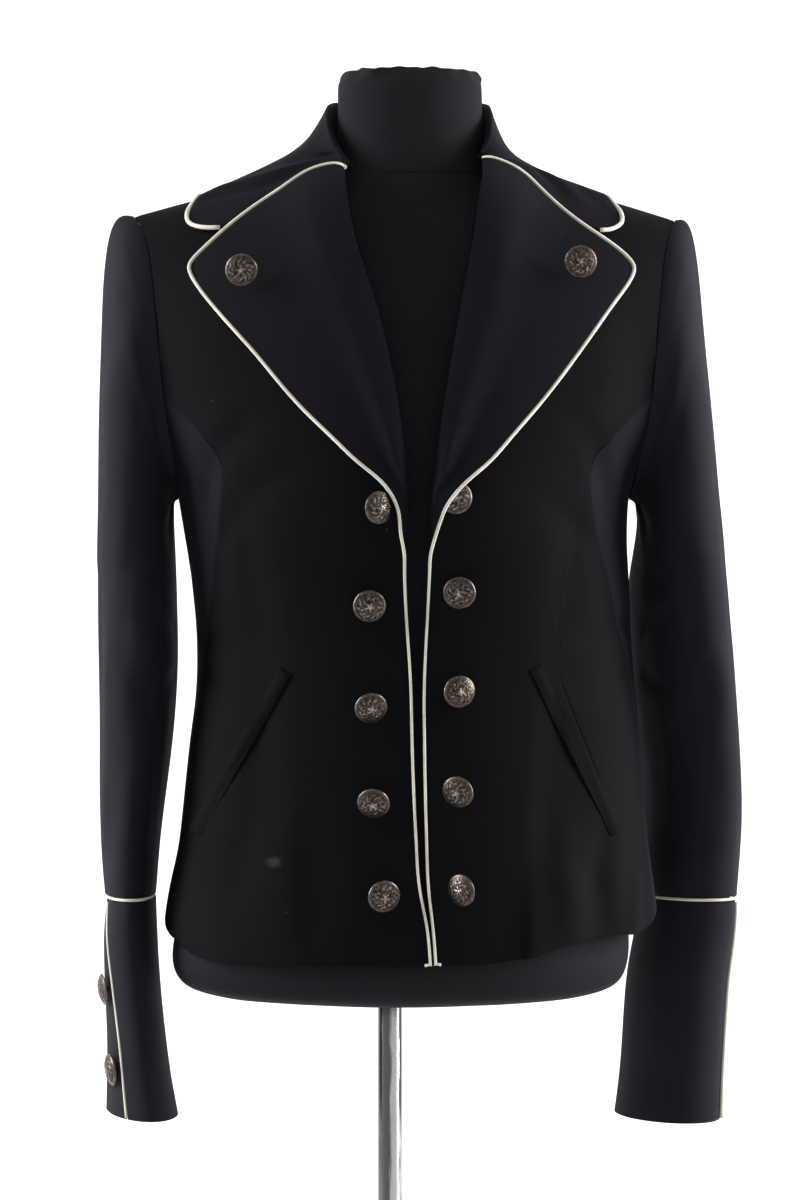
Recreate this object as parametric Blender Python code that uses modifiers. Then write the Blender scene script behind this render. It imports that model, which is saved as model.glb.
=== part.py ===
"""A short tailored blazer worn open on a limbless dress form, which stands on a pole and a round base.

Metres, +Z up, the floor at z = 0 and the pole's axis at the origin. The blazer faces -Y. Left and right are
the wearer's: the wearer's left is at +X. Every panel of the body is a stretch of one torso surface, so that
neighbours share a seam and whatever lies on a panel is made from that panel's own points, moved out.
"""
import math

import bmesh
import bpy
import numpy as np
from mathutils import Vector

# Driving sizes
WALL = 0.0020                 # thickness of the cloth of body, sleeves and cuffs
FOLDED_WALL = 0.0018          # lapel and collar
SEAM_GAP = 0.0003             # between pieces at a seam
PIPING_RADIUS = 0.0015
PIPING_ROOM = PIPING_RADIUS + SEAM_GAP
EDGE_ROOM = PIPING_ROOM + 0.0002   # beside the rolled edges of lapel and collar
HEM_HEIGHT = 0.405
HEM_SWAY_TOP = 0.500          # the hem's rise and fall has died out at this height
ARMPIT_HEIGHT = 0.742
ARMPIT_EASE = 0.045            # how far above and below it the torso's change of shape is eased
SHOULDER_TIP_HEIGHT = 0.953
LAPEL_FOOT = 0.714            # where each lapel ends and the plain front edge begins
LEAST_LAPEL = 0.0038          # its width there, with the piping
NECK_HALF_WIDTH = 0.064       # of the body's neckline, at the shoulder seam
NECK_BACK_DEPTH = 0.066
SHOULDER_DEPTH = 0.004        # y of the shoulder seam
WIDTH_ROUNDNESS = 0.92        # under 1 makes the torso's section a little squarer than an ellipse
FRONT_CLOSING = 1.8           # how the chest curves in to the shoulder seam
BACK_CLOSING = 2.2
WELT_WIDTH = 0.0100
WELT_THICKNESS = 0.0012
BUTTON_RADIUS = 0.0119
BUTTON_BACK = 0.0026           # height of the button's back above its shank's foot
RING_COLUMNS = 20             # faces round a sleeve
UNDER_SLEEVE = (-4, 3)        # the under sleeve's columns, counted from the armpit
CUFF_LENGTH = 0.162
CENTRE_OUT = 0.015            # the blazer's centre line lies this far to the +X side of the pole
POLE_RADIUS = 0.009
BASE_RADIUS = 0.150
BASE_THICKNESS = 0.007

SIDES = {"right": -1, "left": 1}


def table(columns, *rows):
    """A short table: each named column becomes an array."""
    return dict(zip(columns.split(), np.array(rows, float).T))


def read(rows, column, at):
    """A column of a table, read smoothly (a cubic through its rows) at one or many places of the first column."""
    places = rows[next(iter(rows))]
    values = rows[column]
    slopes = np.gradient(values, places)
    at = np.clip(at, places[0], places[-1])
    row = np.clip(np.searchsorted(places, at, side="right") - 1, 0, len(places) - 2)
    span = places[row + 1] - places[row]
    u = (at - places[row]) / span
    start, end = values[row], values[row + 1]
    rise_in, rise_out = slopes[row] * span, slopes[row + 1] * span
    bend = (2 * u**3 - 3 * u**2 + 1) * start + (3 * u**2 - 2 * u**3) * end
    return bend + (u**3 - 2 * u**2 + u) * rise_in + (u**3 - u**2) * rise_out


# The torso below the armpit: half width on each side, and depth before and behind the side line
TORSO = table(
    "z      right   left    front   back",
    (0.405, 0.1850, 0.1862, 0.1270, 0.1170),
    (0.440, 0.1815, 0.1838, 0.1250, 0.1140),
    (0.480, 0.1745, 0.1795, 0.1215, 0.1090),
    (0.520, 0.1695, 0.1755, 0.1175, 0.1030),
    (0.560, 0.1650, 0.1722, 0.1130, 0.0960),
    (0.600, 0.1605, 0.1692, 0.1095, 0.0905),
    (0.640, 0.1603, 0.1662, 0.1085, 0.0885),
    (0.680, 0.1635, 0.1645, 0.1150, 0.0900),
    (0.710, 0.1678, 0.1630, 0.1215, 0.0920),
    (0.742, 0.1735, 0.1638, 0.1245, 0.0940),
)

# The armhole seam, up from the armpit (0) to the shoulder tip (1): its half width on each side, its depth
# before and behind, and the angle round the torso at which each face meets it
ARMHOLE = table(
    "h     right   left    front    back    front_turn back_turn",
    (0.00, 0.1735, 0.1638, 0.0040, 0.0040, 90, 90),
    (0.08, 0.1742, 0.1675, -0.0220, 0.0340, 80, 78),
    (0.20, 0.1775, 0.1735, -0.0405, 0.0540, 73, 70),
    (0.35, 0.1820, 0.1782, -0.0495, 0.0645, 67, 65),
    (0.55, 0.1868, 0.1825, -0.0500, 0.0680, 64, 62),
    (0.75, 0.1905, 0.1860, -0.0400, 0.0590, 65, 63),
    (0.90, 0.1970, 0.1910, -0.0240, 0.0400, 67, 66),
    (0.96, 0.2020, 0.1945, -0.0120, 0.0240, 69, 69),
    (1.00, 0.2075, 0.1990, 0.0040, 0.0040, 72, 72),
)

# How far above the level line the hem hangs, by angle round the body from the centre front
HEM_RISE = table(
    "turn right   left",
    (0, 0.0000, 0.0000),
    (20, 0.0000, 0.0030),
    (32, 0.0000, 0.0095),
    (42, 0.0000, 0.0170),
    (60, 0.0015, 0.0160),
    (80, 0.0120, 0.0185),
    (95, 0.0200, 0.0190),
    (130, 0.0060, 0.0070),
    (180, 0.0030, 0.0030),
)

# The front panels' inner border, x out from the centre front: the front edge, then the lapel's fold line.
# Each piping runs one radius and a gap beyond the front edge.
FRONT_EDGE = table(
    "z      right   left",
    (0.405, -0.0124, 0.0198),
    (0.425, -0.0112, 0.0186),
    (0.460, -0.0047, 0.0148),
    (0.503, -0.0018, 0.0131),
    (0.556, 0.0004, 0.0120),
    (0.610, 0.0018, 0.0119),
    (0.653, 0.0047, 0.0140),
    (0.696, 0.0062, 0.0160),
    (0.739, 0.0048, 0.0182),
    (0.823, 0.0129, 0.0280),
    (0.881, 0.0245, 0.0370),
    (0.934, 0.0390, 0.0445),
    (0.975, 0.0500, 0.0505),
    (0.993, 0.0640, 0.0640),
)

# The lapel's piped edge (the middle of its cord), x out from the centre front
LAPEL_EDGE = table(
    "z      right   left",
    (0.700, 0.0063, 0.0162),
    (0.712, 0.0072, 0.0180),
    (0.726, 0.0084, 0.0222),
    (0.739, 0.0125, 0.0288),
    (0.750, 0.0206, 0.0386),
    (0.772, 0.0437, 0.0602),
    (0.804, 0.0768, 0.0890),
    (0.848, 0.1140, 0.1226),
    (0.881, 0.1430, 0.1460),
    (0.896, 0.1545, 0.1570),
    (0.907, 0.1605, 0.1628),
)

# The same cord from the lapel's peak up the short upper edge and along the gorge to the neck, as x and z
LAPEL_TOP = table(
    "s     right_x right_z left_x  left_z",
    (0.00, 0.1598, 0.9060, 0.1620, 0.9060),
    (0.06, 0.1582, 0.9145, 0.1596, 0.9150),
    (0.16, 0.1480, 0.9255, 0.1480, 0.9258),
    (0.30, 0.1338, 0.9395, 0.1323, 0.9372),
    (0.45, 0.1135, 0.9565, 0.1138, 0.9518),
    (0.60, 0.0942, 0.9690, 0.0955, 0.9682),
    (0.75, 0.0750, 0.9800, 0.0802, 0.9800),
    (0.92, 0.0570, 0.9868, 0.0636, 0.9893),
    (1.00, 0.0485, 0.9850, 0.0550, 0.9922),
)

# The side-front and side-back seams as a share of the way from the centre line to the side line
SIDE_SEAM = table(
    "z      front  back",
    (0.405, 0.900, 0.700),
    (0.500, 0.890, 0.700),
    (0.580, 0.867, 0.705),
    (0.619, 0.820, 0.710),
    (0.641, 0.765, 0.715),
    (0.693, 0.660, 0.735),
    (0.727, 0.603, 0.765),
    (0.762, 0.620, 0.810),
    (0.785, 0.745, 0.890),
    (0.8148, 1.000, 1.000),
)

# The front dart, x out from the centre front
DART = table(
    "z      x",
    (0.405, 0.0930),
    (0.495, 0.0990),
    (0.557, 0.1035),
    (0.629, 0.1080),
    (0.673, 0.1140),
    (0.742, 0.1230),
    (0.850, 0.1150),
    (0.953, 0.1300),
)
DART_SPAN = (0.480, 0.745)
DART_DEPTH = 0.0016

# Soft folds of the body, each along a line from its low end to its high end: side (-1 right, 1 left), turn
# round the body from the centre front at both ends, width across and height, negative for a valley
BODY_FOLDS = table(
    "side low_turn low_z high_turn high_z width  height",
    (1, 41, 0.400, 37, 0.560, 0.016, -0.0075),
    (1, 52, 0.400, 48, 0.520, 0.018, 0.0050),
    (1, 30, 0.400, 31, 0.500, 0.018, 0.0035),
    (1, 74, 0.400, 70, 0.560, 0.022, -0.0030),
    (-1, 60, 0.400, 52, 0.540, 0.022, -0.0035),
    (-1, 76, 0.400, 72, 0.520, 0.020, 0.0025),
    (-1, 118, 0.400, 112, 0.560, 0.022, -0.0050),
    (1, 120, 0.400, 114, 0.560, 0.022, -0.0050),
    (-1, 148, 0.400, 150, 0.580, 0.024, 0.0045),
    (1, 146, 0.400, 150, 0.570, 0.024, 0.0045),
    (-1, 164, 0.400, 166, 0.540, 0.020, -0.0035),
    (1, 166, 0.400, 166, 0.520, 0.020, -0.0035),
    (-1, 100, 0.610, 128, 0.660, 0.016, -0.0025),
    (1, 98, 0.600, 130, 0.650, 0.016, -0.0025),
    (-1, 62, 0.800, 56, 0.900, 0.014, -0.0030),
    (1, 60, 0.790, 55, 0.900, 0.014, -0.0030),
    (-1, 122, 0.790, 128, 0.900, 0.016, -0.0040),
    (1, 122, 0.790, 128, 0.900, 0.016, -0.0040),
)
METRES_PER_DEGREE = 0.0026

# The sleeve's sections below the armhole: centre, half thickness and half breadth, and turn about the upright
SLEEVE = {
    "right": table(
        "z      x       y      thick   broad   turn",
        (0.4465, 0.2112, 0.0210, 0.0203, 0.0580, 3),
        (0.475, 0.2110, 0.0200, 0.0215, 0.0585, 3),
        (0.510, 0.2097, 0.0190, 0.0240, 0.0590, 3),
        (0.550, 0.2073, 0.0180, 0.0266, 0.0595, 3),
        (0.585, 0.2057, 0.0160, 0.0283, 0.0600, 3),
        (0.620, 0.2048, 0.0150, 0.0296, 0.0610, 3),
        (0.660, 0.2051, 0.0130, 0.0296, 0.0625, 3),
        (0.720, 0.2066, 0.0100, 0.0288, 0.0650, 2),
    ),
    "left": table(
        "z      x       y      thick   broad   turn",
        (0.4425, 0.2130, 0.0600, 0.0340, 0.0520, 26),
        (0.475, 0.2140, 0.0560, 0.0340, 0.0530, 25),
        (0.510, 0.2148, 0.0500, 0.0325, 0.0545, 23),
        (0.550, 0.2125, 0.0430, 0.0315, 0.0560, 25),
        (0.585, 0.2085, 0.0360, 0.0325, 0.0575, 25),
        (0.620, 0.2055, 0.0300, 0.0325, 0.0590, 23),
        (0.660, 0.2028, 0.0230, 0.0325, 0.0610, 18),
        (0.690, 0.2020, 0.0170, 0.0320, 0.0625, 13),
        (0.720, 0.2032, 0.0120, 0.0312, 0.0640, 4),
    ),
}

# The cuffs, from the seam down, as the length below it
CUFF = {
    "right": table(
        "down   x       y      thick   broad   turn",
        (0.000, 0.2103, 0.0212, 0.0184, 0.0560, 3),
        (0.024, 0.2111, 0.0212, 0.0200, 0.0560, 4),
        (0.062, 0.2098, 0.0212, 0.0208, 0.0565, 6),
        (0.096, 0.2074, 0.0212, 0.0216, 0.0575, 8),
        (0.126, 0.2053, 0.0212, 0.0229, 0.0585, 10),
        (0.146, 0.2042, 0.0212, 0.0244, 0.0592, 12),
        (0.162, 0.2026, 0.0212, 0.0258, 0.0600, 13),
    ),
    "left": table(
        "down   x       y      thick   broad   turn",
        (0.000, 0.2125, 0.0605, 0.0315, 0.0495, 26),
        (0.024, 0.2105, 0.0630, 0.0325, 0.0500, 26),
        (0.062, 0.2048, 0.0640, 0.0335, 0.0505, 26),
        (0.096, 0.2022, 0.0640, 0.0335, 0.0510, 26),
        (0.126, 0.2002, 0.0640, 0.0335, 0.0515, 26),
        (0.150, 0.1985, 0.0640, 0.0345, 0.0520, 26),
        (0.162, 0.1975, 0.0640, 0.0355, 0.0525, 26),
    ),
}
SLEEVE_END = {"right": 0.4465, "left": 0.4425}
CUFF_DROP = 0.0036            # from the sleeve's end down to the cuff's top, with the piping between

# The slit in the cuff, as the angle round it from its inner side
SLIT = table(
    "down   right  left",
    (0.000, 160, 146),
    (0.050, 144, 139),
    (0.100, 137, 136),
    (0.162, 135, 134),
)

# Soft folds of the sleeves: side, angle round the sleeve from its inner side and height at both ends
SLEEVE_FOLDS = table(
    "side low_turn low_z high_turn high_z width  height",
    (-1, 110, 0.575, 35, 0.632, 0.012, -0.0035),
    (-1, 95, 0.615, 28, 0.672, 0.013, 0.0025),
    (-1, 200, 0.560, 265, 0.600, 0.013, -0.0030),
    (-1, 150, 0.470, 105, 0.520, 0.012, -0.0022),
    (-1, 75, 0.700, 120, 0.820, 0.014, -0.0025),
    (-1, 262, 0.690, 235, 0.800, 0.014, -0.0028),
    (1, 112, 0.565, 40, 0.622, 0.012, -0.0035),
    (1, 92, 0.605, 30, 0.668, 0.013, 0.0025),
    (1, 205, 0.550, 268, 0.598, 0.013, -0.0030),
    (1, 145, 0.462, 100, 0.505, 0.012, -0.0022),
    (1, 78, 0.700, 118, 0.815, 0.014, -0.0025),
    (1, 260, 0.690, 238, 0.805, 0.014, -0.0028),
)

# The collar from the centre back round to the gorge: the fold at the top (out from the centre, back, up), the
# stand's foot, and the outer edge. Depth of the outer edge comes from the body that it lies on.
COLLAR = {
    "right": table(
        "s     fold_x  fold_y   fold_z  foot_x  foot_y   foot_z  edge_x  edge_z",
        (0.00, 0.0000, 0.0745, 1.0470, 0.0000, 0.0650, 0.9980, 0.0000, 0.9720),
        (0.18, 0.0260, 0.0700, 1.0470, 0.0270, 0.0600, 0.9980, 0.0480, 0.9720),
        (0.36, 0.0465, 0.0545, 1.0465, 0.0480, 0.0460, 0.9975, 0.0940, 0.9700),
        (0.52, 0.0580, 0.0320, 1.0445, 0.0595, 0.0260, 0.9965, 0.1330, 0.9690),
        (0.64, 0.0615, 0.0110, 1.0380, 0.0625, 0.0080, 0.9960, 0.1510, 0.9680),
        (0.72, 0.0615, -0.0030, 1.0290, 0.0620, -0.0020, 0.9945, 0.1540, 0.9650),
        (0.79, 0.0600, -0.0140, 1.0190, 0.0610, -0.0110, 0.9925, 0.1590, 0.9600),
        (0.85, 0.0580, -0.0230, 1.0100, 0.0585, -0.0190, 0.9900, 0.1612, 0.9525),
        (0.90, 0.0555, -0.0290, 1.0025, 0.0565, -0.0250, 0.9880, 0.1598, 0.9460),
        (0.95, 0.0535, -0.0340, 0.9965, 0.0530, -0.0270, 0.9885, 0.1500, 0.9425),
        (1.00, 0.0510, -0.0380, 0.9915, 0.0500, -0.0290, 0.9890, 0.1355, 0.9420),
    ),
    "left": table(
        "s     fold_x  fold_y   fold_z  foot_x  foot_y   foot_z  edge_x  edge_z",
        (0.00, 0.0000, 0.0745, 1.0470, 0.0000, 0.0650, 0.9980, 0.0000, 0.9720),
        (0.18, 0.0260, 0.0700, 1.0470, 0.0270, 0.0600, 0.9980, 0.0470, 0.9720),
        (0.36, 0.0450, 0.0545, 1.0465, 0.0480, 0.0460, 0.9975, 0.0900, 0.9680),
        (0.52, 0.0555, 0.0320, 1.0440, 0.0595, 0.0260, 0.9965, 0.1250, 0.9670),
        (0.64, 0.0590, 0.0110, 1.0380, 0.0625, 0.0080, 0.9960, 0.1410, 0.9680),
        (0.72, 0.0595, -0.0030, 1.0300, 0.0620, -0.0020, 0.9950, 0.1440, 0.9650),
        (0.79, 0.0595, -0.0140, 1.0210, 0.0610, -0.0110, 0.9940, 0.1492, 0.9595),
        (0.85, 0.0590, -0.0220, 1.0130, 0.0590, -0.0190, 0.9925, 0.1525, 0.9530),
        (0.90, 0.0575, -0.0280, 1.0065, 0.0575, -0.0240, 0.9910, 0.1527, 0.9465),
        (0.95, 0.0560, -0.0320, 1.0015, 0.0555, -0.0255, 0.9920, 0.1455, 0.9422),
        (1.00, 0.0550, -0.0350, 0.9975, 0.0545, -0.0270, 0.9935, 0.1345, 0.9410),
    ),
}
COLLAR_STATIONS = (0.0, 0.08, 0.16, 0.24, 0.32, 0.40, 0.48, 0.56, 0.64, 0.72, 0.79, 0.85, 0.90, 0.95, 1.0)
COLLAR_LIFT = 0.0042          # of the collar's outer side off the body, at least
COLLAR_BACK_LIFT = 0.0044     # more where the back curves in to the neck, around station COLLAR_BACK
COLLAR_BACK = 0.22
# How the collar falls from its fold: drop and spread of the first stretch, and where the flat stretch begins
FALL = {"right": (0.36, 0.15, 0.40), "left": (0.48, 0.09, 0.30)}
FOLD_HALF_WIDTH = 0.0030      # of the collar's fold, across the two layers

# Buttons of the fronts, the lapel's first: place, turn to the viewer's right and droop, both in degrees
BUTTONS = {
    "right": table(
        "x      z      turn droop",
        (0.1190, 0.9020, -4, 10),
        (0.0244, 0.7330, 34, 4),
        (0.0295, 0.6635, 4, 14),
        (0.0283, 0.5905, 10, 24),
        (0.0256, 0.5225, -8, 26),
        (0.0195, 0.4560, 16, 12),
    ),
    "left": table(
        "x      z      turn droop",
        (0.1200, 0.9080, 4, 10),
        (0.0328, 0.7402, 6, 2),
        (0.0352, 0.6730, -6, 12),
        (0.0338, 0.6015, 20, 8),
        (0.0345, 0.5300, -24, 16),
        (0.0375, 0.4600, -40, 8),
    ),
}
CUFF_BUTTONS = (0.067, 0.126)  # below the cuff seam
CUFF_BUTTON_TURNS = {"right": (15, 15), "left": (42, 34)}   # degrees behind the slit

# Half a button, turned round its shank: distance out and height above the shank's foot
BUTTON_PROFILE = table(
    "out     up",
    (0.0000, 0.0073),
    (0.0062, 0.0066),
    (0.0103, 0.0048),
    (0.0119, 0.0033),
    (0.0110, 0.0026),
    (0.0022, 0.0026),
    (0.0022, 0.0000),
    (0.0000, 0.0000),
)

# The dress form from its rounded bottom up to the neck's cap: half width, depth before and behind, and centre
FORM = table(
    "z      width   front   back    x",
    (0.3700, 0.1150, 0.0760, 0.0700, -0.0075),
    (0.3735, 0.1450, 0.0950, 0.0900, -0.0075),
    (0.3820, 0.1640, 0.1080, 0.1010, -0.0075),
    (0.3960, 0.1705, 0.1150, 0.1050, -0.0075),
    (0.4200, 0.1700, 0.1160, 0.1040, -0.0060),
    (0.4800, 0.1620, 0.1120, 0.0980, -0.0030),
    (0.5600, 0.1520, 0.1030, 0.0870, 0.0000),
    (0.6300, 0.1460, 0.0970, 0.0780, 0.0015),
    (0.7000, 0.1500, 0.1060, 0.0800, 0.0000),
    (0.7700, 0.1580, 0.1110, 0.0830, -0.0020),
    (0.8400, 0.1680, 0.0960, 0.0830, -0.0020),
    (0.8900, 0.1700, 0.0790, 0.0770, -0.0020),
    (0.9200, 0.1660, 0.0640, 0.0690, -0.0020),
    (0.9400, 0.1540, 0.0510, 0.0610, -0.0020),
    (0.9550, 0.1280, 0.0420, 0.0540, -0.0010),
    (0.9680, 0.0960, 0.0380, 0.0500, 0.0000),
    (0.9800, 0.0690, 0.0370, 0.0490, 0.0000),
    (0.9950, 0.0565, 0.0365, 0.0480, 0.0000),
    (1.0200, 0.0540, 0.0365, 0.0470, 0.0000),
    (1.0430, 0.0542, 0.0370, 0.0470, 0.0000),
    (1.0550, 0.0535, 0.0365, 0.0465, 0.0000),
    (1.0620, 0.0490, 0.0330, 0.0420, 0.0000),
)
FORM_COLUMNS = 24


# ---------------------------------------------------------------- scene helpers
def clear_scene():
    for thing in list(bpy.data.objects):
        bpy.data.objects.remove(thing, do_unlink=True)


def finish(name, colour, roughness, metallic=0.0):
    material = bpy.data.materials.new(name)
    material.use_nodes = True
    shader = material.node_tree.nodes["Principled BSDF"]
    shader.inputs["Base Color"].default_value = (*colour, 1)
    shader.inputs["Roughness"].default_value = roughness
    shader.inputs["Metallic"].default_value = metallic
    material.diffuse_color = (*colour, 1)
    return material


def keep(obj, material, out=CENTRE_OUT):
    """Puts a finished piece in the object's collection, with a material of its own, beside the pole's axis."""
    obj.location.x += out
    own = material.copy()
    own.name = obj.name + "_" + material.name
    obj.data.materials.clear()
    obj.data.materials.append(own)
    for holder in list(obj.users_collection):
        holder.objects.unlink(obj)
    bpy.data.collections["blazer_on_form"].objects.link(obj)
    return obj


def unit(vectors):
    return vectors / np.maximum(np.linalg.norm(vectors, axis=-1, keepdims=True), 1e-12)


def grid_normals(points):
    """Normals of a grid of points, by the differences between its rows and columns."""
    return unit(np.cross(np.gradient(points, axis=1), np.gradient(points, axis=0)))


def drawn_in(layers, borders):
    """Both layers of a wall drawn back by half a seam's gap along the named borders."""
    step = SEAM_GAP / 2 + 0.00002
    drawn = []
    for points in layers:
        points = points.copy()
        if "low" in borders:
            points[0] += unit(points[1] - points[0]) * step
        if "high" in borders:
            points[-1] += unit(points[-2] - points[-1]) * step
        if "start" in borders:
            points[:, 0] += unit(points[:, 1] - points[:, 0]) * step
        if "end" in borders:
            points[:, -1] += unit(points[:, -2] - points[:, -1]) * step
        drawn.append(points)
    return drawn


def wall(name, outer, inner, material):
    """A closed wall of cloth: a grid laid on the outer points, and its copy pushed through to the inner ones."""
    rows, columns = outer.shape[:2]
    mesh = bmesh.new()
    bmesh.ops.create_grid(mesh, x_segments=columns - 1, y_segments=rows - 1, size=1)
    # create_grid numbers its points along x first, then row by row up y
    mesh.verts.ensure_lookup_table()
    flat_inner = inner.reshape(-1, 3)
    for vertex, place in zip(mesh.verts, outer.reshape(-1, 3)):
        vertex.co = place
    pushed = bmesh.ops.extrude_face_region(mesh, geom=list(mesh.faces), use_keep_orig=True)
    copies = [item for item in pushed["geom"] if isinstance(item, bmesh.types.BMVert)]
    by_place = {tuple(vertex.co): index for index, vertex in enumerate(list(mesh.verts)[:rows * columns])}
    for copy in copies:
        copy.co = flat_inner[by_place[tuple(copy.co)]]
    bmesh.ops.recalc_face_normals(mesh, faces=mesh.faces)
    data = bpy.data.meshes.new(name)
    mesh.to_mesh(data)
    mesh.free()
    data.shade_smooth()
    data.set_sharp_from_angle(angle=math.radians(40))
    obj = bpy.data.objects.new(name, data)
    bpy.context.scene.collection.objects.link(obj)
    return keep(obj, material)


def cord(name, route, radius, material, closed=False, sides_level=1):
    """A round cord along a route of points."""
    curve = bpy.data.curves.new(name, "CURVE")
    curve.dimensions = "3D"
    curve.bevel_depth = radius
    curve.bevel_resolution = sides_level
    curve.use_fill_caps = not closed
    line = curve.splines.new("POLY")
    line.points.add(len(route) - 1)
    for point, place in zip(line.points, route):
        point.co = (*place, 1)
    line.use_cyclic_u = closed
    obj = bpy.data.objects.new(name, curve)
    bpy.context.scene.collection.objects.link(obj)
    return keep(obj, material)


# ---------------------------------------------------------------- the torso surface
def top_height(side, out):
    """Height of the shoulder seam, and of the back neckline inside it, at a distance out from the centre."""
    slope, tip, tip_out = (0.266, 0.9549, 0.2075) if side < 0 else (0.300, 0.9520, 0.1990)
    return tip + slope * (tip_out - np.maximum(out, NECK_HALF_WIDTH))


def top_depth(out, back):
    """How far back the top edge lies: the shoulder seam, and the curve of the back neck inside it."""
    inside = np.clip(out / NECK_HALF_WIDTH, 0, 1)
    return SHOULDER_DEPTH + back * (NECK_BACK_DEPTH - SHOULDER_DEPTH) * np.sqrt(1 - inside**2)


def name_of(side):
    return "right" if side < 0 else "left"


def torso_form(side, face, share, level):
    """A point of the torso. share runs from the centre line (0) to the side line or armhole (1); level is the
    height, taken above the armpit at the armhole's edge. Returns the point and the turn from the centre front."""
    share, level = np.broadcast_arrays(np.asarray(share, float), np.asarray(level, float))
    h = np.clip((level - ARMPIT_HEIGHT) / (SHOULDER_TIP_HEIGHT - ARMPIT_HEIGHT), 0, 1)
    low = level <= ARMPIT_HEIGHT
    column = name_of(side)
    half = np.where(low, read(TORSO, column, level), read(ARMHOLE, column, h))
    limit = np.radians(read(ARMHOLE, face + "_turn", h))
    edge_depth = read(ARMHOLE, face, h)
    depth = read(TORSO, face, level)
    closing = FRONT_CLOSING if face == "front" else BACK_CLOSING
    sign = -1 if face == "front" else 1
    left_over = (1 - h**closing) ** (1 / closing)
    angle = share * limit
    out = half * np.sign(angle) * (np.abs(np.sin(angle)) / np.sin(limit)) ** WIDTH_ROUNDNESS
    back = float(face == "back")
    top = top_depth(np.abs(out), back)
    at_edge = edge_depth - top_depth(half, back) * (1 - left_over)
    at_centre = sign * depth * left_over
    across = (np.cos(angle) - np.cos(limit)) / (1 - np.cos(limit))
    y = top * (1 - left_over) + at_edge + (at_centre - at_edge) * across
    turn = np.degrees(angle) if face == "front" else 180 - np.degrees(angle)
    sway = np.clip((HEM_SWAY_TOP - level) / (HEM_SWAY_TOP - HEM_HEIGHT), 0, 1) ** 1.5
    low_z = level + read(HEM_RISE, column, np.abs(turn)) * sway
    high_z = ARMPIT_HEIGHT + (top_height(side, np.abs(out)) - ARMPIT_HEIGHT) * h
    z = np.where(low, low_z, high_z)
    return np.stack([side * out, y, z], axis=-1), turn


def torso_base(side, face, share, level):
    """The torso's point with its change of shape at the armpit's height eased in, but not at the armhole itself."""
    point, turn = torso_form(side, face, share, level)
    share, level = np.asarray(share, float), np.asarray(level, float)
    near = np.clip(1 - np.abs(level - ARMPIT_HEIGHT) / ARMPIT_EASE, 0, 1) * (1 - np.abs(share) ** 4)
    below = torso_form(side, face, share, level - near * ARMPIT_EASE * 0.7)[0]
    above = torso_form(side, face, share, level + near * ARMPIT_EASE * 0.7)[0]
    return point * 0.4 + (below + above) * 0.3, turn


def fold_height(folds, side, turn, z, metres_per_degree):
    """Summed height of the soft folds at a place: each is a rounded line, strongest in the middle or at a hem."""
    total = np.zeros_like(z)
    for row in zip(*folds.values()):
        fold_side, low_turn, low_z, high_turn, high_z, width, height = row
        if fold_side != side:
            continue
        span = np.array([(high_turn - low_turn) * metres_per_degree, high_z - low_z])
        reach = np.hypot(*span)
        direction = span / reach
        to_x = (turn - low_turn) * metres_per_degree
        to_z = z - low_z
        along = (to_x * direction[0] + to_z * direction[1]) / reach
        across = to_x * direction[1] - to_z * direction[0]
        from_hem = low_z <= HEM_HEIGHT
        rise = 1.0 if from_hem else np.clip(along / 0.3, 0, 1)
        fall = np.clip((1 - along) / (0.8 if from_hem else 0.3), 0, 1)
        strength = (rise**2 * (3 - 2 * rise)) * (fall**2 * (3 - 2 * fall))
        total += height * strength * np.exp(-((across / width) ** 2))
    return total


def dart_height(side, point):
    """The dart draws its line in a little between the bust and just below the pocket."""
    out, z = side * point[..., 0], point[..., 2]
    near = np.exp(-(((out - read(DART, "x", z)) / 0.006) ** 2))
    span = np.clip(np.minimum(z - DART_SPAN[0], DART_SPAN[1] - z) / 0.03, 0, 1)
    return -DART_DEPTH * near * span


def torso(side, face, share, level, out=0.0):
    """A point of the cloth, moved out along the surface's normal by its folds and by the given distance."""
    step = 1e-4
    level = np.asarray(level, float)
    share = np.asarray(share, float)
    point, turn = torso_base(side, face, share, level)
    before = torso_base(side, face, share, np.maximum(level - step, HEM_HEIGHT))[0]
    after = torso_base(side, face, share, np.minimum(level + step, SHOULDER_TIP_HEIGHT))[0]
    inward = torso_base(side, face, np.maximum(share - step, -1), level)[0]
    outward = torso_base(side, face, np.minimum(share + step, 1), level)[0]
    facing = -1 if (side < 0) == (face == "front") else 1
    normal = unit(np.cross(outward - inward, after - before) * facing)
    # both faces meet at the shoulder seam, where the cloth lies level
    level_off = np.clip(1 - (SHOULDER_TIP_HEIGHT - level) / 0.003, 0, 1)[..., None]
    normal = unit(normal * (1 - level_off) + np.array([0.0, 0.0, 1.0]) * level_off)
    moved = fold_height(BODY_FOLDS, side, turn, point[..., 2], METRES_PER_DEGREE)
    if face == "front":
        moved = moved + dart_height(side, point)
    fade = np.clip((SHOULDER_TIP_HEIGHT - level) / 0.03, 0, 1)
    return point + normal * (moved * fade + out)[..., None]


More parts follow.
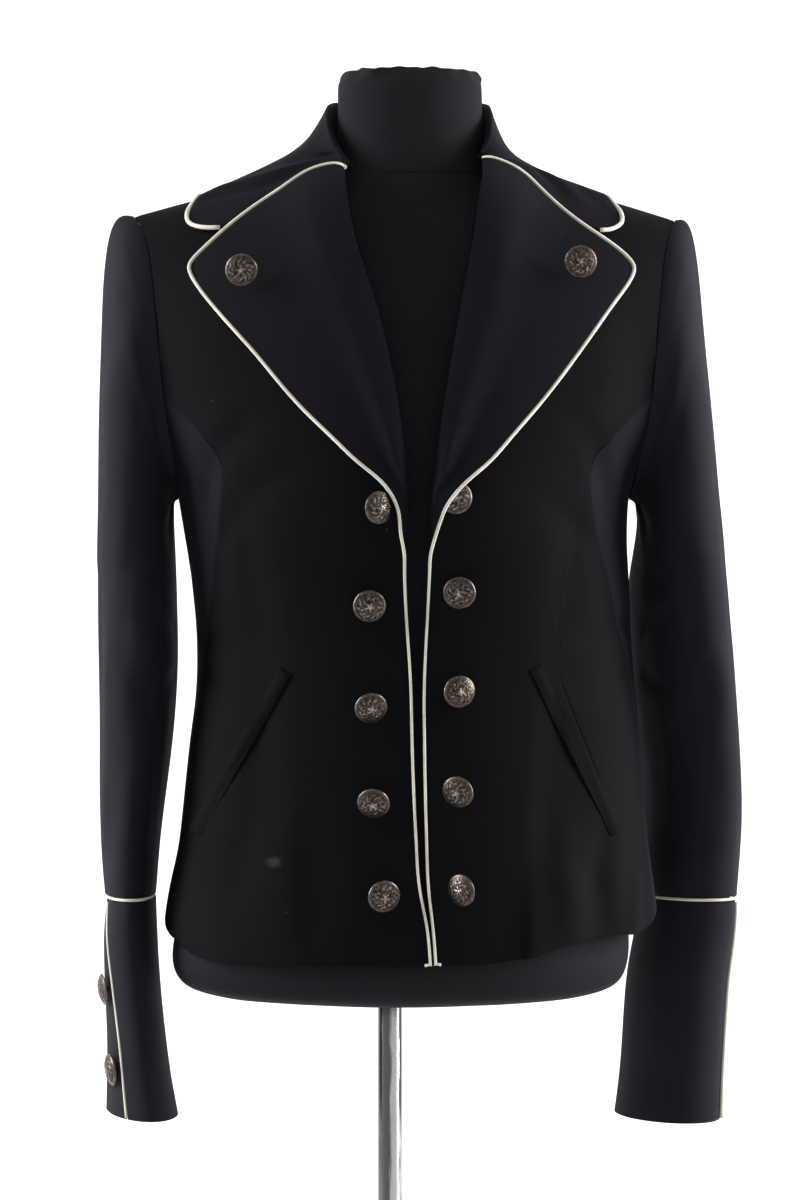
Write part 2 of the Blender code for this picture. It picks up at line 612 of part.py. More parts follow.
def place_on(side, face, out, z):
    """The share and level of the torso point that lies at a distance out from the centre and at a height."""
    out, z = np.broadcast_arrays(np.asarray(out, float), np.asarray(z, float))
    h = (z - ARMPIT_HEIGHT) / (top_height(side, np.abs(out)) - ARMPIT_HEIGHT)
    level = np.where(z > ARMPIT_HEIGHT, ARMPIT_HEIGHT + h * (SHOULDER_TIP_HEIGHT - ARMPIT_HEIGHT), z)
    share = np.zeros_like(level)
    for _ in range(4):
        level_h = np.clip((level - ARMPIT_HEIGHT) / (SHOULDER_TIP_HEIGHT - ARMPIT_HEIGHT), 0, 1)
        column = name_of(side)
        half = np.where(level <= ARMPIT_HEIGHT, read(TORSO, column, level), read(ARMHOLE, column, level_h))
        limit = np.radians(read(ARMHOLE, face + "_turn", level_h))
        sine = np.clip(np.abs(out) / half, 0, 1) ** (1 / WIDTH_ROUNDNESS) * np.sin(limit)
        share = np.sign(out) * np.arcsin(np.clip(sine, 0, 1)) / limit
        off = torso_base(side, face, share, level)[0][..., 2] - z
        level = np.where(z > ARMPIT_HEIGHT, level, np.maximum(level - off, HEM_HEIGHT))
    return share, np.minimum(level, SHOULDER_TIP_HEIGHT)


def on_front(side, out, z, lift=0.0):
    share, level = place_on(side, "front", out, z)
    return torso(side, "front", share, level, np.asarray(lift, float))


def on_back(side, out, z, lift=0.0):
    share, level = place_on(side, "back", out, z)
    return torso(side, "back", share, level, np.asarray(lift, float))


# ---------------------------------------------------------------- the body's panels
ARMHOLE_STEPS = (1 - np.cos(np.linspace(0, math.pi, RING_COLUMNS // 2 + 1))) / 2
LOW_LEVELS = np.linspace(HEM_HEIGHT, ARMPIT_HEIGHT, 13)
HIGH_LEVELS = ARMPIT_HEIGHT + ARMHOLE_STEPS[1:] * (SHOULDER_TIP_HEIGHT - ARMPIT_HEIGHT)
LEVELS = np.concatenate([LOW_LEVELS, HIGH_LEVELS])
SEAM_STEP = 4                 # the armhole step at which both side seams leave the armhole


def seam_share(face, level):
    return np.clip(read(SIDE_SEAM, face, level), 0, 1)


def front_panel(side, material):
    name = name_of(side)
    edge = []
    dart = []
    for level in LEVELS:
        out = 0.03
        for _ in range(6):
            share = place_share(side, "front", out, level)
            z = torso_base(side, "front", share, level)[0][..., 2]
            out = float(read(FRONT_EDGE, name, z))
        edge.append(float(place_share(side, "front", out, level)))
        dart.append(float(place_share(side, "front", float(read(DART, "x", level)), level)))
    edge, dart = np.array(edge), np.array(dart)
    seam = seam_share("front", LEVELS)
    inner_part = edge[:, None] + (dart - edge)[:, None] * np.linspace(0, 1, 6)
    outer_part = dart[:, None] + (seam - dart)[:, None] * np.linspace(0, 1, 4)[1:]
    shares = np.concatenate([inner_part, outer_part], axis=1)
    levels = np.repeat(LEVELS[:, None], shares.shape[1], axis=1)
    layers = [torso(side, "front", shares, levels, lift) for lift in (0.0, -WALL)]
    return wall(f"front_{name}", *drawn_in(layers, ("high", "end")), material)


def place_share(side, face, out, level):
    """The share at which a level reaches a distance out from the centre."""
    h = np.clip((level - ARMPIT_HEIGHT) / (SHOULDER_TIP_HEIGHT - ARMPIT_HEIGHT), 0, 1)
    column = name_of(side)
    half = read(TORSO, column, level) if level <= ARMPIT_HEIGHT else read(ARMHOLE, column, h)
    limit = np.radians(read(ARMHOLE, face + "_turn", h))
    sine = np.clip(abs(out) / half, 0, 1) ** (1 / WIDTH_ROUNDNESS) * np.sin(limit)
    return np.sign(out) * np.arcsin(np.clip(sine, 0, 1)) / limit


def side_columns(face):
    """The side panel's columns on one face: shares and levels, from the seam to the side line."""
    top = len(LOW_LEVELS) - 1 + SEAM_STEP
    seam_levels = LEVELS[:top + 1]
    shares, levels = [], []
    for step in range(SEAM_STEP, -1, -1):
        part = step / SEAM_STEP
        top_level = LEVELS[len(LOW_LEVELS) - 1 + step]
        column = HEM_HEIGHT + (top_level - HEM_HEIGHT) * (seam_levels - HEM_HEIGHT) / (seam_levels[-1] - HEM_HEIGHT)
        if step == SEAM_STEP:
            weight = np.ones_like(column)
        else:
            above = np.clip((column - ARMPIT_HEIGHT) / max(top_level - ARMPIT_HEIGHT, 1e-9), 0, 1)
            weight = part * (1 - above**2)
        shares.append(1 - weight * (1 - seam_share(face, column)))
        levels.append(column)
    return np.stack(shares, axis=1), np.stack(levels, axis=1)


def side_panel(side, material):
    name = name_of(side)
    layers = []
    for lift in (0.0, -WALL):
        fore = torso(side, "front", *side_columns("front"), lift)
        rear = torso(side, "back", *side_columns("back"), lift)[:, ::-1]
        middle = (fore[:, -1:] + rear[:, :1]) / 2
        layers.append(np.concatenate([fore[:, :-1], middle, rear[:, 1:]], axis=1))
    return wall(f"side_{name}", *drawn_in(layers, ("high", "start", "end")), material)


def back_panel(side, material):
    name = name_of(side)
    seam = seam_share("back", LEVELS)
    shares = seam[:, None] * np.linspace(0, 1, 7)
    levels = np.repeat(LEVELS[:, None], shares.shape[1], axis=1)
    layers = [torso(side, "back", shares, levels, lift) for lift in (0.0, -WALL)]
    return wall(f"back_{name}", *drawn_in(layers, ("high", "start", "end")), material)


# ---------------------------------------------------------------- lapels and collar
def lapel_lift(side, across, z):
    """How far the underside of the lapel stands off the front: a soft roll at the fold, a lift at the edge."""
    open_low = np.clip((0.80 - z) / 0.06, 0, 1) * np.clip((z - LAPEL_FOOT) / 0.030, 0, 1)
    roll = 0.0036 * np.sin(np.pi * np.clip(across / 0.45, 0, 1)) * np.clip((z - LAPEL_FOOT) / 0.05, 0, 1)
    edge = (0.0100 if side > 0 else 0.0040) * open_low * np.sqrt(across)
    return 0.0011 + roll + edge + 0.0016 * across**2


LAPEL_ACROSS = (0.0, 0.08, 0.25, 0.40, 0.55, 0.70, 0.84, 0.94, 1.0)
LAPEL_UP = (0.0, 0.06, 0.12, 0.19, 0.27, 0.36, 0.46, 0.57, 0.68, 0.78, 0.87, 0.94, 1.0)
GORGE_COLUMNS = 6             # of LAPEL_ACROSS, from the neck to the notch


def lapel_points(side, across, up):
    """Places of the lapel as x and z: across from the fold (0) to the edge (1), up from the break to the peak."""
    name = name_of(side)
    top_x, top_z = LAPEL_TOP[name + "_x"], LAPEL_TOP[name + "_z"]
    edge_z = LAPEL_FOOT + (LAPEL_EDGE["z"][-1] - LAPEL_FOOT) * up
    edge_x = read(LAPEL_EDGE, name, edge_z)
    fold_z = LAPEL_FOOT + (top_z[-1] - LAPEL_FOOT) * up
    fold_x = read(FRONT_EDGE, name, np.minimum(fold_z, 0.975)) - 0.0010
    fold_x = np.minimum(fold_x + (top_x[-1] - 0.0010 - fold_x) * up**5, edge_x - LEAST_LAPEL)
    bend_x = read(LAPEL_TOP, name + "_x", 1 - across) - (top_x[-1] + (top_x[0] - top_x[-1]) * across)
    bend_z = read(LAPEL_TOP, name + "_z", 1 - across) - (top_z[-1] + (top_z[0] - top_z[-1]) * across)
    x = fold_x + (edge_x - fold_x) * across + bend_x * up**3
    z = fold_z + (edge_z - fold_z) * across + bend_z * up**3
    return x, z


def lapel_layers(side, room=EDGE_ROOM):
    """The lapel's outer side and underside, its top and edge drawn back from the piped line by a room.
    Its neck end comes forward off the body to meet the collar's fold."""
    name = name_of(side)
    across, up = np.meshgrid(LAPEL_ACROSS, LAPEL_UP)
    x, z = lapel_points(side, across, up)
    under = on_front(side, x, z, lapel_lift(side, across, z))
    near = np.clip(1 - across / 0.62, 0, 1) ** 1.6 * np.clip((up - 0.60) / 0.40, 0, 1) ** 1.6
    under[..., 1] += near * (COLLAR[name]["fold_y"][-1] - under[-1, 0, 1])
    normal = grid_normals(under)
    if normal[7, 4, 1] > 0:
        normal = -normal
    under[-1] = beyond(under[-1], under[-2], normal[-1], -room)
    drawn = beyond(under[:, -1], under[:, -2], normal[:, -1], -room) - under[:, -1]
    under += across[..., None] * drawn[:, None]
    return under + normal * FOLDED_WALL, under


def lapel(side, material):
    return wall(f"lapel_{name_of(side)}", *lapel_layers(side), material)


def beyond(border, inside, normal, distance):
    """A border's points moved within the surface, square to the border and away from the next points inside it."""
    away = unit(np.cross(np.gradient(border, axis=0), normal))
    outward = np.sign(np.sum(away * (border - inside), axis=-1, keepdims=True))
    return border + away * outward * distance


def lapel_border(side, distance):
    """Points beside the lapel's piped line: along the top from the neck to the peak, then down its edge."""
    outer, under = lapel_layers(side, EDGE_ROOM - distance)
    middle = (outer + under) / 2
    return middle[-1, :-1], middle[::-1, -1]


def cleared(side, point, lift):
    """A point moved out along the body's normal where it lies nearer to the body than the lift."""
    face = "front" if point[1] < SHOULDER_DEPTH else "back"
    out = abs(point[0])
    share, level = place_on(side, face, out, min(point[2], float(top_height(side, out)) - 0.0005))
    ground = torso(side, face, share, level)
    normal = unit(torso(side, face, share, level, 0.001) - ground)
    height = float(np.dot(point - ground, normal))
    return point + normal * max(0.0, lift - height)


def collar_edge(side, s, lift=0.0030):
    name = name_of(side)
    x = float(read(COLLAR[name], "edge_x", s))
    z = min(float(read(COLLAR[name], "edge_z", s)), float(top_height(side, x)) - 0.0008)
    lay = on_back if s < 0.66 else on_front
    return lay(side, x, z, lift)


def collar_fall(side, start, edge, outward):
    """The collar's fall from its fold to its edge: steep at the neck, then out along the shoulder."""
    reach = np.linalg.norm(edge - start)
    drop, spread, flat = FALL[name_of(side)]
    first = start + np.array([0, 0, -drop * reach]) + outward * spread * reach
    second = edge + (start - edge) * flat
    fall = []
    for u in (0.2, 0.4, 0.6, 0.8, 1.0):
        v = 1 - u
        fall.append(start * v**3 + first * 3 * v * v * u + second * 3 * v * u * u + edge * u**3)
    return np.array(fall)


def to_border(side, border_end):
    """From the fold's last place in the table to where it meets the lapel's neck end."""
    rows = COLLAR[name_of(side)]
    fold = np.array([side * rows["fold_x"][-1], rows["fold_y"][-1], rows["fold_z"][-1]])
    outward = unit(np.array([fold[0], fold[1] - 0.010, 0.0]))
    return border_end - fold - outward * FOLD_HALF_WIDTH + np.array([0, 0, 0.0035])


def collar_lift(s):
    return COLLAR_LIFT + COLLAR_BACK_LIFT * math.exp(-(((s - COLLAR_BACK) / 0.17) ** 2))


def collar_half(side, stations):
    """Rows of the collar's showing surface for one side: up the stand, over the fold and down to the edge."""
    rows = COLLAR[name_of(side)]
    border = lapel_border(side, 2 * EDGE_ROOM)[0]
    gorge = border[1:GORGE_COLUMNS]
    sections = []
    for s in stations:
        value = {column: float(read(rows, column, s)) for column in rows}
        fold = np.array([side * value["fold_x"], value["fold_y"], value["fold_z"]])
        foot = np.array([side * value["foot_x"], value["foot_y"], value["foot_z"]])
        outward = unit(np.array([fold[0], fold[1] - 0.010, 0.0]))
        fold = fold + to_border(side, border[0]) * np.clip((s - 0.72) / 0.28, 0, 1) ** 2
        waist = fold - outward * FOLD_HALF_WIDTH - np.array([0, 0, 0.004])
        stand = [foot, foot * 0.45 + waist * 0.55]
        arch = [fold + outward * FOLD_HALF_WIDTH * a + np.array([0, 0, b]) for a, b in
                ((-1.0, -0.0035), (-0.55, -0.0008), (0.0, 0.0), (0.55, -0.0008), (1.0, -0.0035))]
        fall = collar_fall(side, arch[-1], collar_edge(side, s), outward)
        to_gorge = np.clip((s - 0.62) / 0.38, 0, 1)
        to_gorge = to_gorge * to_gorge * (3 - 2 * to_gorge)
        if to_gorge == 1:
            fall = gorge
        elif to_gorge > 0:
            end_value = {column: rows[column][-1] for column in rows}
            end_fold = np.array([side * end_value["fold_x"], end_value["fold_y"], end_value["fold_z"]])
            end_outward = unit(np.array([end_fold[0], end_fold[1] - 0.010, 0.0]))
            end_start = end_fold + end_outward * FOLD_HALF_WIDTH + np.array([0, 0, -0.0035])
            plain = collar_fall(side, end_start, collar_edge(side, 1.0), end_outward)
            fall = fall + (gorge - plain) * to_gorge
        lift = collar_lift(s)
        fall = np.array([cleared(side, point, lift) for point in fall])
        sections.append(np.concatenate([np.array(stand + arch), fall]))
    return np.array(sections)


def collar_surface():
    return np.concatenate([collar_half(-1, COLLAR_STATIONS[1:])[::-1], collar_half(1, COLLAR_STATIONS)])


def collar(material):
    surface = collar_surface()
    middle = len(surface) // 2
    normal = grid_normals(surface)
    if normal[middle, -1, 1] < 0:
        normal = -normal
    return wall("collar", surface, surface - normal * FOLDED_WALL, material)


# ---------------------------------------------------------------- sleeves and cuffs
def section(rows, side, at, turn):
    """A point of an elliptical section, by its angle from the inner side through the front."""
    angle = np.radians(turn)
    outward = -np.cos(angle) * read(rows, "thick", at)
    forward = np.sin(angle) * read(rows, "broad", at)
    swing = np.radians(read(rows, "turn", at))
    x = side * (read(rows, "x", at) + outward * np.cos(swing)) + forward * np.sin(swing)
    y = read(rows, "y", at) + side * outward * np.sin(swing) - forward * np.cos(swing)
    return x, y


def armhole_point(side, column):
    """The armhole seam's point for a column round the sleeve, counted from the armpit through the front."""
    column = column % RING_COLUMNS
    half = RING_COLUMNS // 2
    face, step = ("front", column) if column <= half else ("back", RING_COLUMNS - column)
    level = ARMPIT_HEIGHT + ARMHOLE_STEPS[step] * (SHOULDER_TIP_HEIGHT - ARMPIT_HEIGHT)
    return torso(side, face, 1.0, level)


SLEEVE_LEAN = {"right": 0.022, "left": 0.105}   # how far the head leans in for each metre up
HEAD_SWELL = {"right": 0.021, "left": 0.016}    # how far the raised head stands out at the shoulder
CAP_STEPS = (0.0, 0.10, 0.22, 0.36, 0.53, 0.75, 1.0)
SLEEVE_ROWS = 10


def sleeve_points(side, columns):
    """Rows down the sleeve for the given columns: the head from the armhole, then the tube to the cuff seam."""
    rows = SLEEVE[name_of(side)]
    head_foot = rows["z"][-1]
    grid = []
    for column in columns:
        turn = column * 360 / RING_COLUMNS
        start = armhole_point(side, column)
        x, y = section(rows, side, head_foot, turn)
        end = np.array([x, y, head_foot])
        height = (1 - math.cos(math.radians(turn))) / 2
        leave = np.array([side * 1.0, 0, 0.30 * height])
        first = start + leave * (0.005 + HEAD_SWELL[name_of(side)] * height)
        rise = 0.86 * (start[2] - head_foot)
        second = end + np.array([-side * SLEEVE_LEAN[name_of(side)] * rise * height, 0, rise])
        line = []
        for u in CAP_STEPS:
            v = 1 - u
            line.append(start * v**3 + first * 3 * v * v * u + second * 3 * v * u * u + end * u**3)
        for z in np.linspace(head_foot, SLEEVE_END[name_of(side)], SLEEVE_ROWS)[1:]:
            x, y = section(rows, side, z, turn)
            # the seam end is turned in a little over the cuff
            close = np.clip((SLEEVE_END[name_of(side)] + 0.006 - z) / 0.006, 0, 1)
            centre = np.array([side * float(read(rows, "x", z)), float(read(rows, "y", z)), z])
            line.append(centre + (np.array([x, y, z]) - centre) * (1 - 0.05 * close))
        grid.append(line)
    return np.array(grid).transpose(1, 0, 2)


def sleeve(side, part, material):
    name = name_of(side)
    low, high = UNDER_SLEEVE
    columns = range(low, high + 1) if part == "under" else range(high, RING_COLUMNS + low + 1)
    wide = range(columns[0] - 1, columns[-1] + 2)
    points = sleeve_points(side, wide)
    normal = grid_normals(points)
    centre = np.array([side * 0.205, 0.02, 0.60])
    if np.dot(normal[10, 2], points[10, 2] - centre) < 0:
        normal = -normal
    turn = (np.array(list(wide)) * 360 / RING_COLUMNS)[None, :] % 360 + np.zeros(points.shape[:2])
    moved = fold_height(SLEEVE_FOLDS, side, turn, points[..., 2], 0.0008)
    moved[0] = 0
    points = points + normal * moved[..., None]
    inner = points - normal * WALL
    layers = [points[:, 1:-1], inner[:, 1:-1]]
    return wall(f"{part}_sleeve_{name}", *drawn_in(layers, ("low", "start", "end")), material)


def cuff_point(side, turn, down, lift=0.0):
    rows = CUFF[name_of(side)]
    z = SLEEVE_END[name_of(side)] - CUFF_DROP - down
    x, y = section(rows, side, down, turn)
    ahead_x, ahead_y = section(rows, side, down, turn + 0.5)
    along = unit(np.array([ahead_x - x, ahead_y - y]))
    outward = np.array([along[1], -along[0]])
    centre = np.array([side * read(rows, "x", down), read(rows, "y", down)])
    if np.dot(outward, np.array([x, y]) - centre) < 0:
        outward = -outward
    return np.array([x + outward[0] * lift, y + outward[1] * lift, z])


CUFF_DOWNS = np.linspace(0, CUFF_LENGTH, 7)


def cuff(side, material):
    """The cuff runs once round from one edge of its slit to the other, with room for the piping between."""
    name = name_of(side)
    layers = []
    for lift in (0.0, -WALL):
        rows = []
        for down in CUFF_DOWNS:
            slit = float(read(SLIT, name, down))
            one_degree = np.linalg.norm(cuff_point(side, slit + 1, down) - cuff_point(side, slit, down))
            room = PIPING_ROOM / one_degree
            turns = slit + np.linspace(room, 360 - room, RING_COLUMNS + 1)
            rows.append([cuff_point(side, turn, down, lift) for turn in turns])
        layers.append(np.array(rows))
    return wall(f"cuff_{name}", *layers, material)


# ---------------------------------------------------------------- pockets, piping and buttons
WELTS = {
    "right": ((0.0905, 0.6150), (0.1580, 0.4960)),
    "left": ((0.0905, 0.6180), (0.1510, 0.4965)),
}


def welt(side, material):
    name = name_of(side)
    (top_x, top_z), (low_x, low_z) = WELTS[name]
    length = math.hypot(low_x - top_x, low_z - top_z)
    across_x, across_z = (top_z - low_z) / length, (low_x - top_x) / length
    along, over = np.meshgrid(np.linspace(0, 1, 9), np.linspace(-0.5, 0.5, 3) * WELT_WIDTH)
    x = top_x + (low_x - top_x) * along + across_x * over
    z = top_z + (low_z - top_z) * along + across_z * over
    lift = 2 * SEAM_GAP + WELT_THICKNESS + 0.0005 * np.cos(np.pi * over / WELT_WIDTH)
    layers = [on_front(side, x, z, lift), on_front(side, x, z, 2 * SEAM_GAP)]
    return wall(f"pocket_welt_{name}", *layers, material)


PIPING_HOOK = ((0.0002, 0.0014), (0.0042, 0.0020))   # of the front cord: how far aside and below the hem


def edge_piping(side, material):
    """One cord: from the neck down the gorge, round the lapel's peak, down its edge and the front edge."""
    name = name_of(side)
    top, edge = lapel_border(side, EDGE_ROOM)
    levels = LOW_LEVELS[LOW_LEVELS < LAPEL_FOOT - 0.012][::-1]
    levels = np.concatenate([[LAPEL_FOOT - 0.014], levels[:-1], [HEM_HEIGHT + 0.002]])
    lifts = np.full(len(levels), 0.0004 - WALL / 2)
    lifts[0] = 0.0013
    out = read(FRONT_EDGE, name, levels) - PIPING_ROOM
    front = on_front(side, out, levels, lifts)
    # the cord's end is turned under the hem, away from the other front
    hook = [on_front(side, out[-1] + aside, HEM_HEIGHT, lifts[-1]) - np.array([0, 0, drop])
            for aside, drop in PIPING_HOOK]
    route = np.concatenate([top, edge, front, hook])
    return cord(f"piping_front_{name}", route, PIPING_RADIUS, material)


def collar_piping(material):
    """A cord round the collar: out along the short end, round the tip and behind the neck."""
    surface = collar_surface()
    normal = grid_normals(surface)
    route = beyond(surface[:, -1], surface[:, -2], normal[:, -1], EDGE_ROOM + SEAM_GAP)
    stations = [-s for s in COLLAR_STATIONS[:0:-1]] + list(COLLAR_STATIONS)
    for index, s in enumerate(stations):
        side = -1 if s < 0 else 1
        route[index] = cleared(side, route[index], collar_lift(abs(s)))
    # the ends stop short of the gorge's cord: at the left, then at the right front
    for end, inside, short in ((0, 1, 0.16), (-1, -2, 0.30)):
        route[end] += (route[inside] - route[end]) * short
    return cord("piping_collar", route, PIPING_RADIUS, material)


def cuff_seam_piping(side, material):
    name = name_of(side)
    z = SLEEVE_END[name] - CUFF_DROP / 2
    ring = []
    for column in range(RING_COLUMNS):
        place = cuff_point(side, column * 360 / RING_COLUMNS, 0.0, 0.0004)
        ring.append((place[0], place[1], z))
    return cord(f"piping_cuff_seam_{name}", ring, PIPING_RADIUS, material, closed=True)


def cuff_slit_piping(side, material):
    name = name_of(side)
    route = []
    for down in CUFF_DOWNS:
        down = np.clip(down, 0.0024, CUFF_LENGTH - 0.001)
        route.append(cuff_point(side, float(read(SLIT, name, down)), down, 0.0006 - WALL / 2))
    return cord(f"piping_cuff_slit_{name}", route, PIPING_RADIUS, material)


def button(name, foot, facing, material):
    """A domed button on a shank, its foot on the cloth and its face turned the given way."""
    mesh = bpy.data.meshes.new(name)
    shape = bmesh.new()
    steps = [shape.verts.new((out, 0, up)) for out, up in zip(BUTTON_PROFILE["out"], BUTTON_PROFILE["up"])]
    for first, second in zip(steps, steps[1:]):
        shape.edges.new((first, second))
    shape.to_mesh(mesh)
    shape.free()
    obj = bpy.data.objects.new(name, mesh)
    bpy.context.scene.collection.objects.link(obj)
    turned = obj.modifiers.new("turned", "SCREW")
    turned.steps = 10
    turned.render_steps = 10
    turned.use_merge_vertices = True
    turned.merge_threshold = 0.0001
    turned.use_normal_calculate = True
    obj.location = foot
    obj.rotation_mode = "QUATERNION"
    obj.rotation_quaternion = Vector((0, 0, 1)).rotation_difference(Vector(facing))
    return keep(obj, material)


def facing_of(turn, droop):
    """The way a button's face looks: turned from straight ahead to the viewer's right, and tipped down."""
    turn, droop = math.radians(turn), math.radians(droop)
    return (math.sin(turn) * math.cos(droop), -math.cos(turn) * math.cos(droop), -math.sin(droop))


def front_buttons(side, material):
    """Each hangs from its shank, which is long enough to keep the tipped rim off the cloth."""
    name = name_of(side)
    for number, (x, z, turn, droop) in enumerate(zip(*BUTTONS[name].values())):
        on_lapel = number == 0
        cloth = 0.0048 + FOLDED_WALL if on_lapel else 0.0
        surface = on_front(side, x, z, cloth)
        normal = unit(on_front(side, x, z, cloth + 0.001) - surface)
        facing = np.array(facing_of(turn, droop))
        tipped = math.sqrt(max(0.0, 1 - float(np.dot(facing, normal)) ** 2))
        stand = max(SEAM_GAP, BUTTON_RADIUS * tipped - BUTTON_BACK + 0.0012)
        place = "lapel" if on_lapel else "front"
        button(f"button_{place}_{name}_{max(number, 1)}", surface + normal * stand, facing, material)


def cuff_buttons(side, material):
    name = name_of(side)
    for number, down in enumerate(CUFF_BUTTONS, 1):
        turn = float(read(SLIT, name, down)) + CUFF_BUTTON_TURNS[name][number - 1]
        surface = cuff_point(side, turn, down)
        foot = cuff_point(side, turn, down, SEAM_GAP)
        away = unit(cuff_point(side, turn, down, 0.01) - surface)
        facing = unit(away + np.array([0, 0, -0.12]))
        button(f"button_cuff_{name}_{number}", foot, facing, material)


# ---------------------------------------------------------------- the dress form and its stand
def dress_form(material):
    """A loft of rings, closed at the rounded bottom and at the neck's cap."""
    turns = np.linspace(0, 2 * math.pi, FORM_COLUMNS, endpoint=False)
    mesh = bmesh.new()
    loops = []
    for z, width, front, back, x in zip(*FORM.values()):
        ring = []
        for turn in turns:
            out = width * np.sign(math.sin(turn)) * abs(math.sin(turn)) ** WIDTH_ROUNDNESS
            depth = front if math.cos(turn) > 0 else back
            ring.append(mesh.verts.new((x + out, 0.004 - depth * math.cos(turn), z)))
        loops.append([mesh.edges.new((ring[i - 1], ring[i])) for i in range(len(ring))])
    for lower, upper in zip(loops, loops[1:]):
        bmesh.ops.bridge_loops(mesh, edges=lower + upper)
    bmesh.ops.contextual_create(mesh, geom=loops[0])
    bmesh.ops.contextual_create(mesh, geom=loops[-1])
    bmesh.ops.recalc_face_normals(mesh, faces=mesh.faces)
    data = bpy.data.meshes.new("dress_form")
    mesh.to_mesh(data)
    mesh.free()
    data.shade_smooth()
    obj = bpy.data.objects.new("dress_form", data)
    bpy.context.scene.collection.objects.link(obj)
    return keep(obj, material)


def turned_stand(name, bottom, top, radius, sides, edge, material):
    bpy.ops.mesh.primitive_cylinder_add(vertices=sides, radius=radius, depth=top - bottom)
    obj = bpy.context.object
    obj.name = name
    obj.location = (0, 0, (top + bottom) / 2)
    if edge:
        rounded = obj.modifiers.new("edge", "BEVEL")
        rounded.width = edge
        rounded.segments = 1
        rounded.limit_method = "ANGLE"
    obj.data.shade_smooth()
    obj.data.set_sharp_from_angle(angle=math.radians(40))
    return keep(obj, material, out=0.0)


def stand(metal):
    turned_stand("base", 0.0, BASE_THICKNESS, BASE_RADIUS, 36, 0.002, metal)
    turned_stand("base_socket", BASE_THICKNESS + SEAM_GAP, 0.036, 0.020, 16, 0.002, metal)
    turned_stand("pole", 0.036 + SEAM_GAP, FORM["z"][0] - SEAM_GAP, POLE_RADIUS, 20, 0.0, metal)


def main():
    clear_scene()
    collection = bpy.data.collections.new("blazer_on_form")
    bpy.context.scene.collection.children.link(collection)
    wool = finish("black_wool", (0.011, 0.010, 0.014), 0.85)
    piping = finish("cream_piping", (0.72, 0.68, 0.58), 0.60)
    brass = finish("aged_brass", (0.17, 0.125, 0.085), 0.40, 0.85)
    jersey = finish("black_jersey", (0.014, 0.014, 0.017), 0.80)
    steel = finish("polished_steel", (0.62, 0.62, 0.64), 0.12, 1.0)
    for side in SIDES.values():
        front_panel(side, wool)
        side_panel(side, wool)
        back_panel(side, wool)
        lapel(side, wool)
        sleeve(side, "upper", wool)
        sleeve(side, "under", wool)
        cuff(side, wool)
        welt(side, wool)
        edge_piping(side, piping)
        cuff_seam_piping(side, piping)
        cuff_slit_piping(side, piping)
        front_buttons(side, brass)
        cuff_buttons(side, brass)
    collar(wool)
    collar_piping(piping)
    dress_form(jersey)
    stand(steel)


main()
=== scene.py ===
import math

import bmesh
import bpy
import numpy as np
from mathutils import Matrix, Vector, bvhtree, noise


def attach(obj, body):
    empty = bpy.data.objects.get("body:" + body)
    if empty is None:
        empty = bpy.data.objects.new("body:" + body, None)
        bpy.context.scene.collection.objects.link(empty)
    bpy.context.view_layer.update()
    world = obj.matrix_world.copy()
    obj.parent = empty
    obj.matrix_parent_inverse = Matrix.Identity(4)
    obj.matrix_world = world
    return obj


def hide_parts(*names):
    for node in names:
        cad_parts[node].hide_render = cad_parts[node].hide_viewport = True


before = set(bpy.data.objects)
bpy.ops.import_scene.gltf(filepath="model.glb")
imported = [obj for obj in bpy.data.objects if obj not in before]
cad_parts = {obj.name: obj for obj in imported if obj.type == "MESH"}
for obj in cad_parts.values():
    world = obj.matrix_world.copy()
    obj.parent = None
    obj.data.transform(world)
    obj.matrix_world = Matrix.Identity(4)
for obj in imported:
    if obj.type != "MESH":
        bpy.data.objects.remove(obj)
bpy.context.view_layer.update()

scene = bpy.context.scene

# ---------------------------------------------------------------- The studio
# A pale floor that runs up all round into a pale wall, soft lamps on both sides and above, and the camera
# straight in front at the height of the blazer's middle, as the photograph was taken.
FLOOR_REACH = 5.0
WALL_REACH = 6.4
WALL_TOP = 6.0
CAMERA_PLACE = (0.0075, -2.6, 0.667)
HALF_HEIGHT_SEEN = 0.45            # at the pole's distance
PALE = (0.36, 0.36, 0.365, 1)
LIT_FROM, LIT_TO = -0.6, 0.9       # the depths between which the paper's glow grows
FRONT_GLOW, BACK_GLOW = 0.30, 1.0
SKY_GLOW = 0.5
SAME_PLACE = 1e-6                  # points nearer than this are one


def new_object(name, bm):
    """The finished bmesh as an object of the scene, at the origin."""
    mesh = bpy.data.meshes.new(name)
    bm.to_mesh(mesh)
    bm.free()
    obj = bpy.data.objects.new(name, mesh)
    scene.collection.objects.link(obj)
    return obj


def smooth(obj):
    obj.data.polygons.foreach_set("use_smooth", [True] * len(obj.data.polygons))
    return obj


def spun(profile, steps):
    """A turned shape: a profile of (radius, height) rows spun round the upright axis."""
    bm = bmesh.new()
    points = [bm.verts.new((r, 0, z)) for r, z in profile]
    edges = [bm.edges.new(pair) for pair in zip(points, points[1:])]
    bmesh.ops.spin(bm, geom=points + edges, cent=(0, 0, 0), axis=(0, 0, 1), angle=math.tau,
                   steps=steps, use_merge=True)
    bmesh.ops.remove_doubles(bm, verts=bm.verts, dist=SAME_PLACE)
    bmesh.ops.recalc_face_normals(bm, faces=bm.faces)
    return bm


def new_material(name):
    """A material with its own Principled shader, as the material, its nodes, its links and the shader."""
    material = bpy.data.materials.new(name)
    material.use_nodes = True
    nodes, links = material.node_tree.nodes, material.node_tree.links
    return material, nodes, links, nodes["Principled BSDF"]


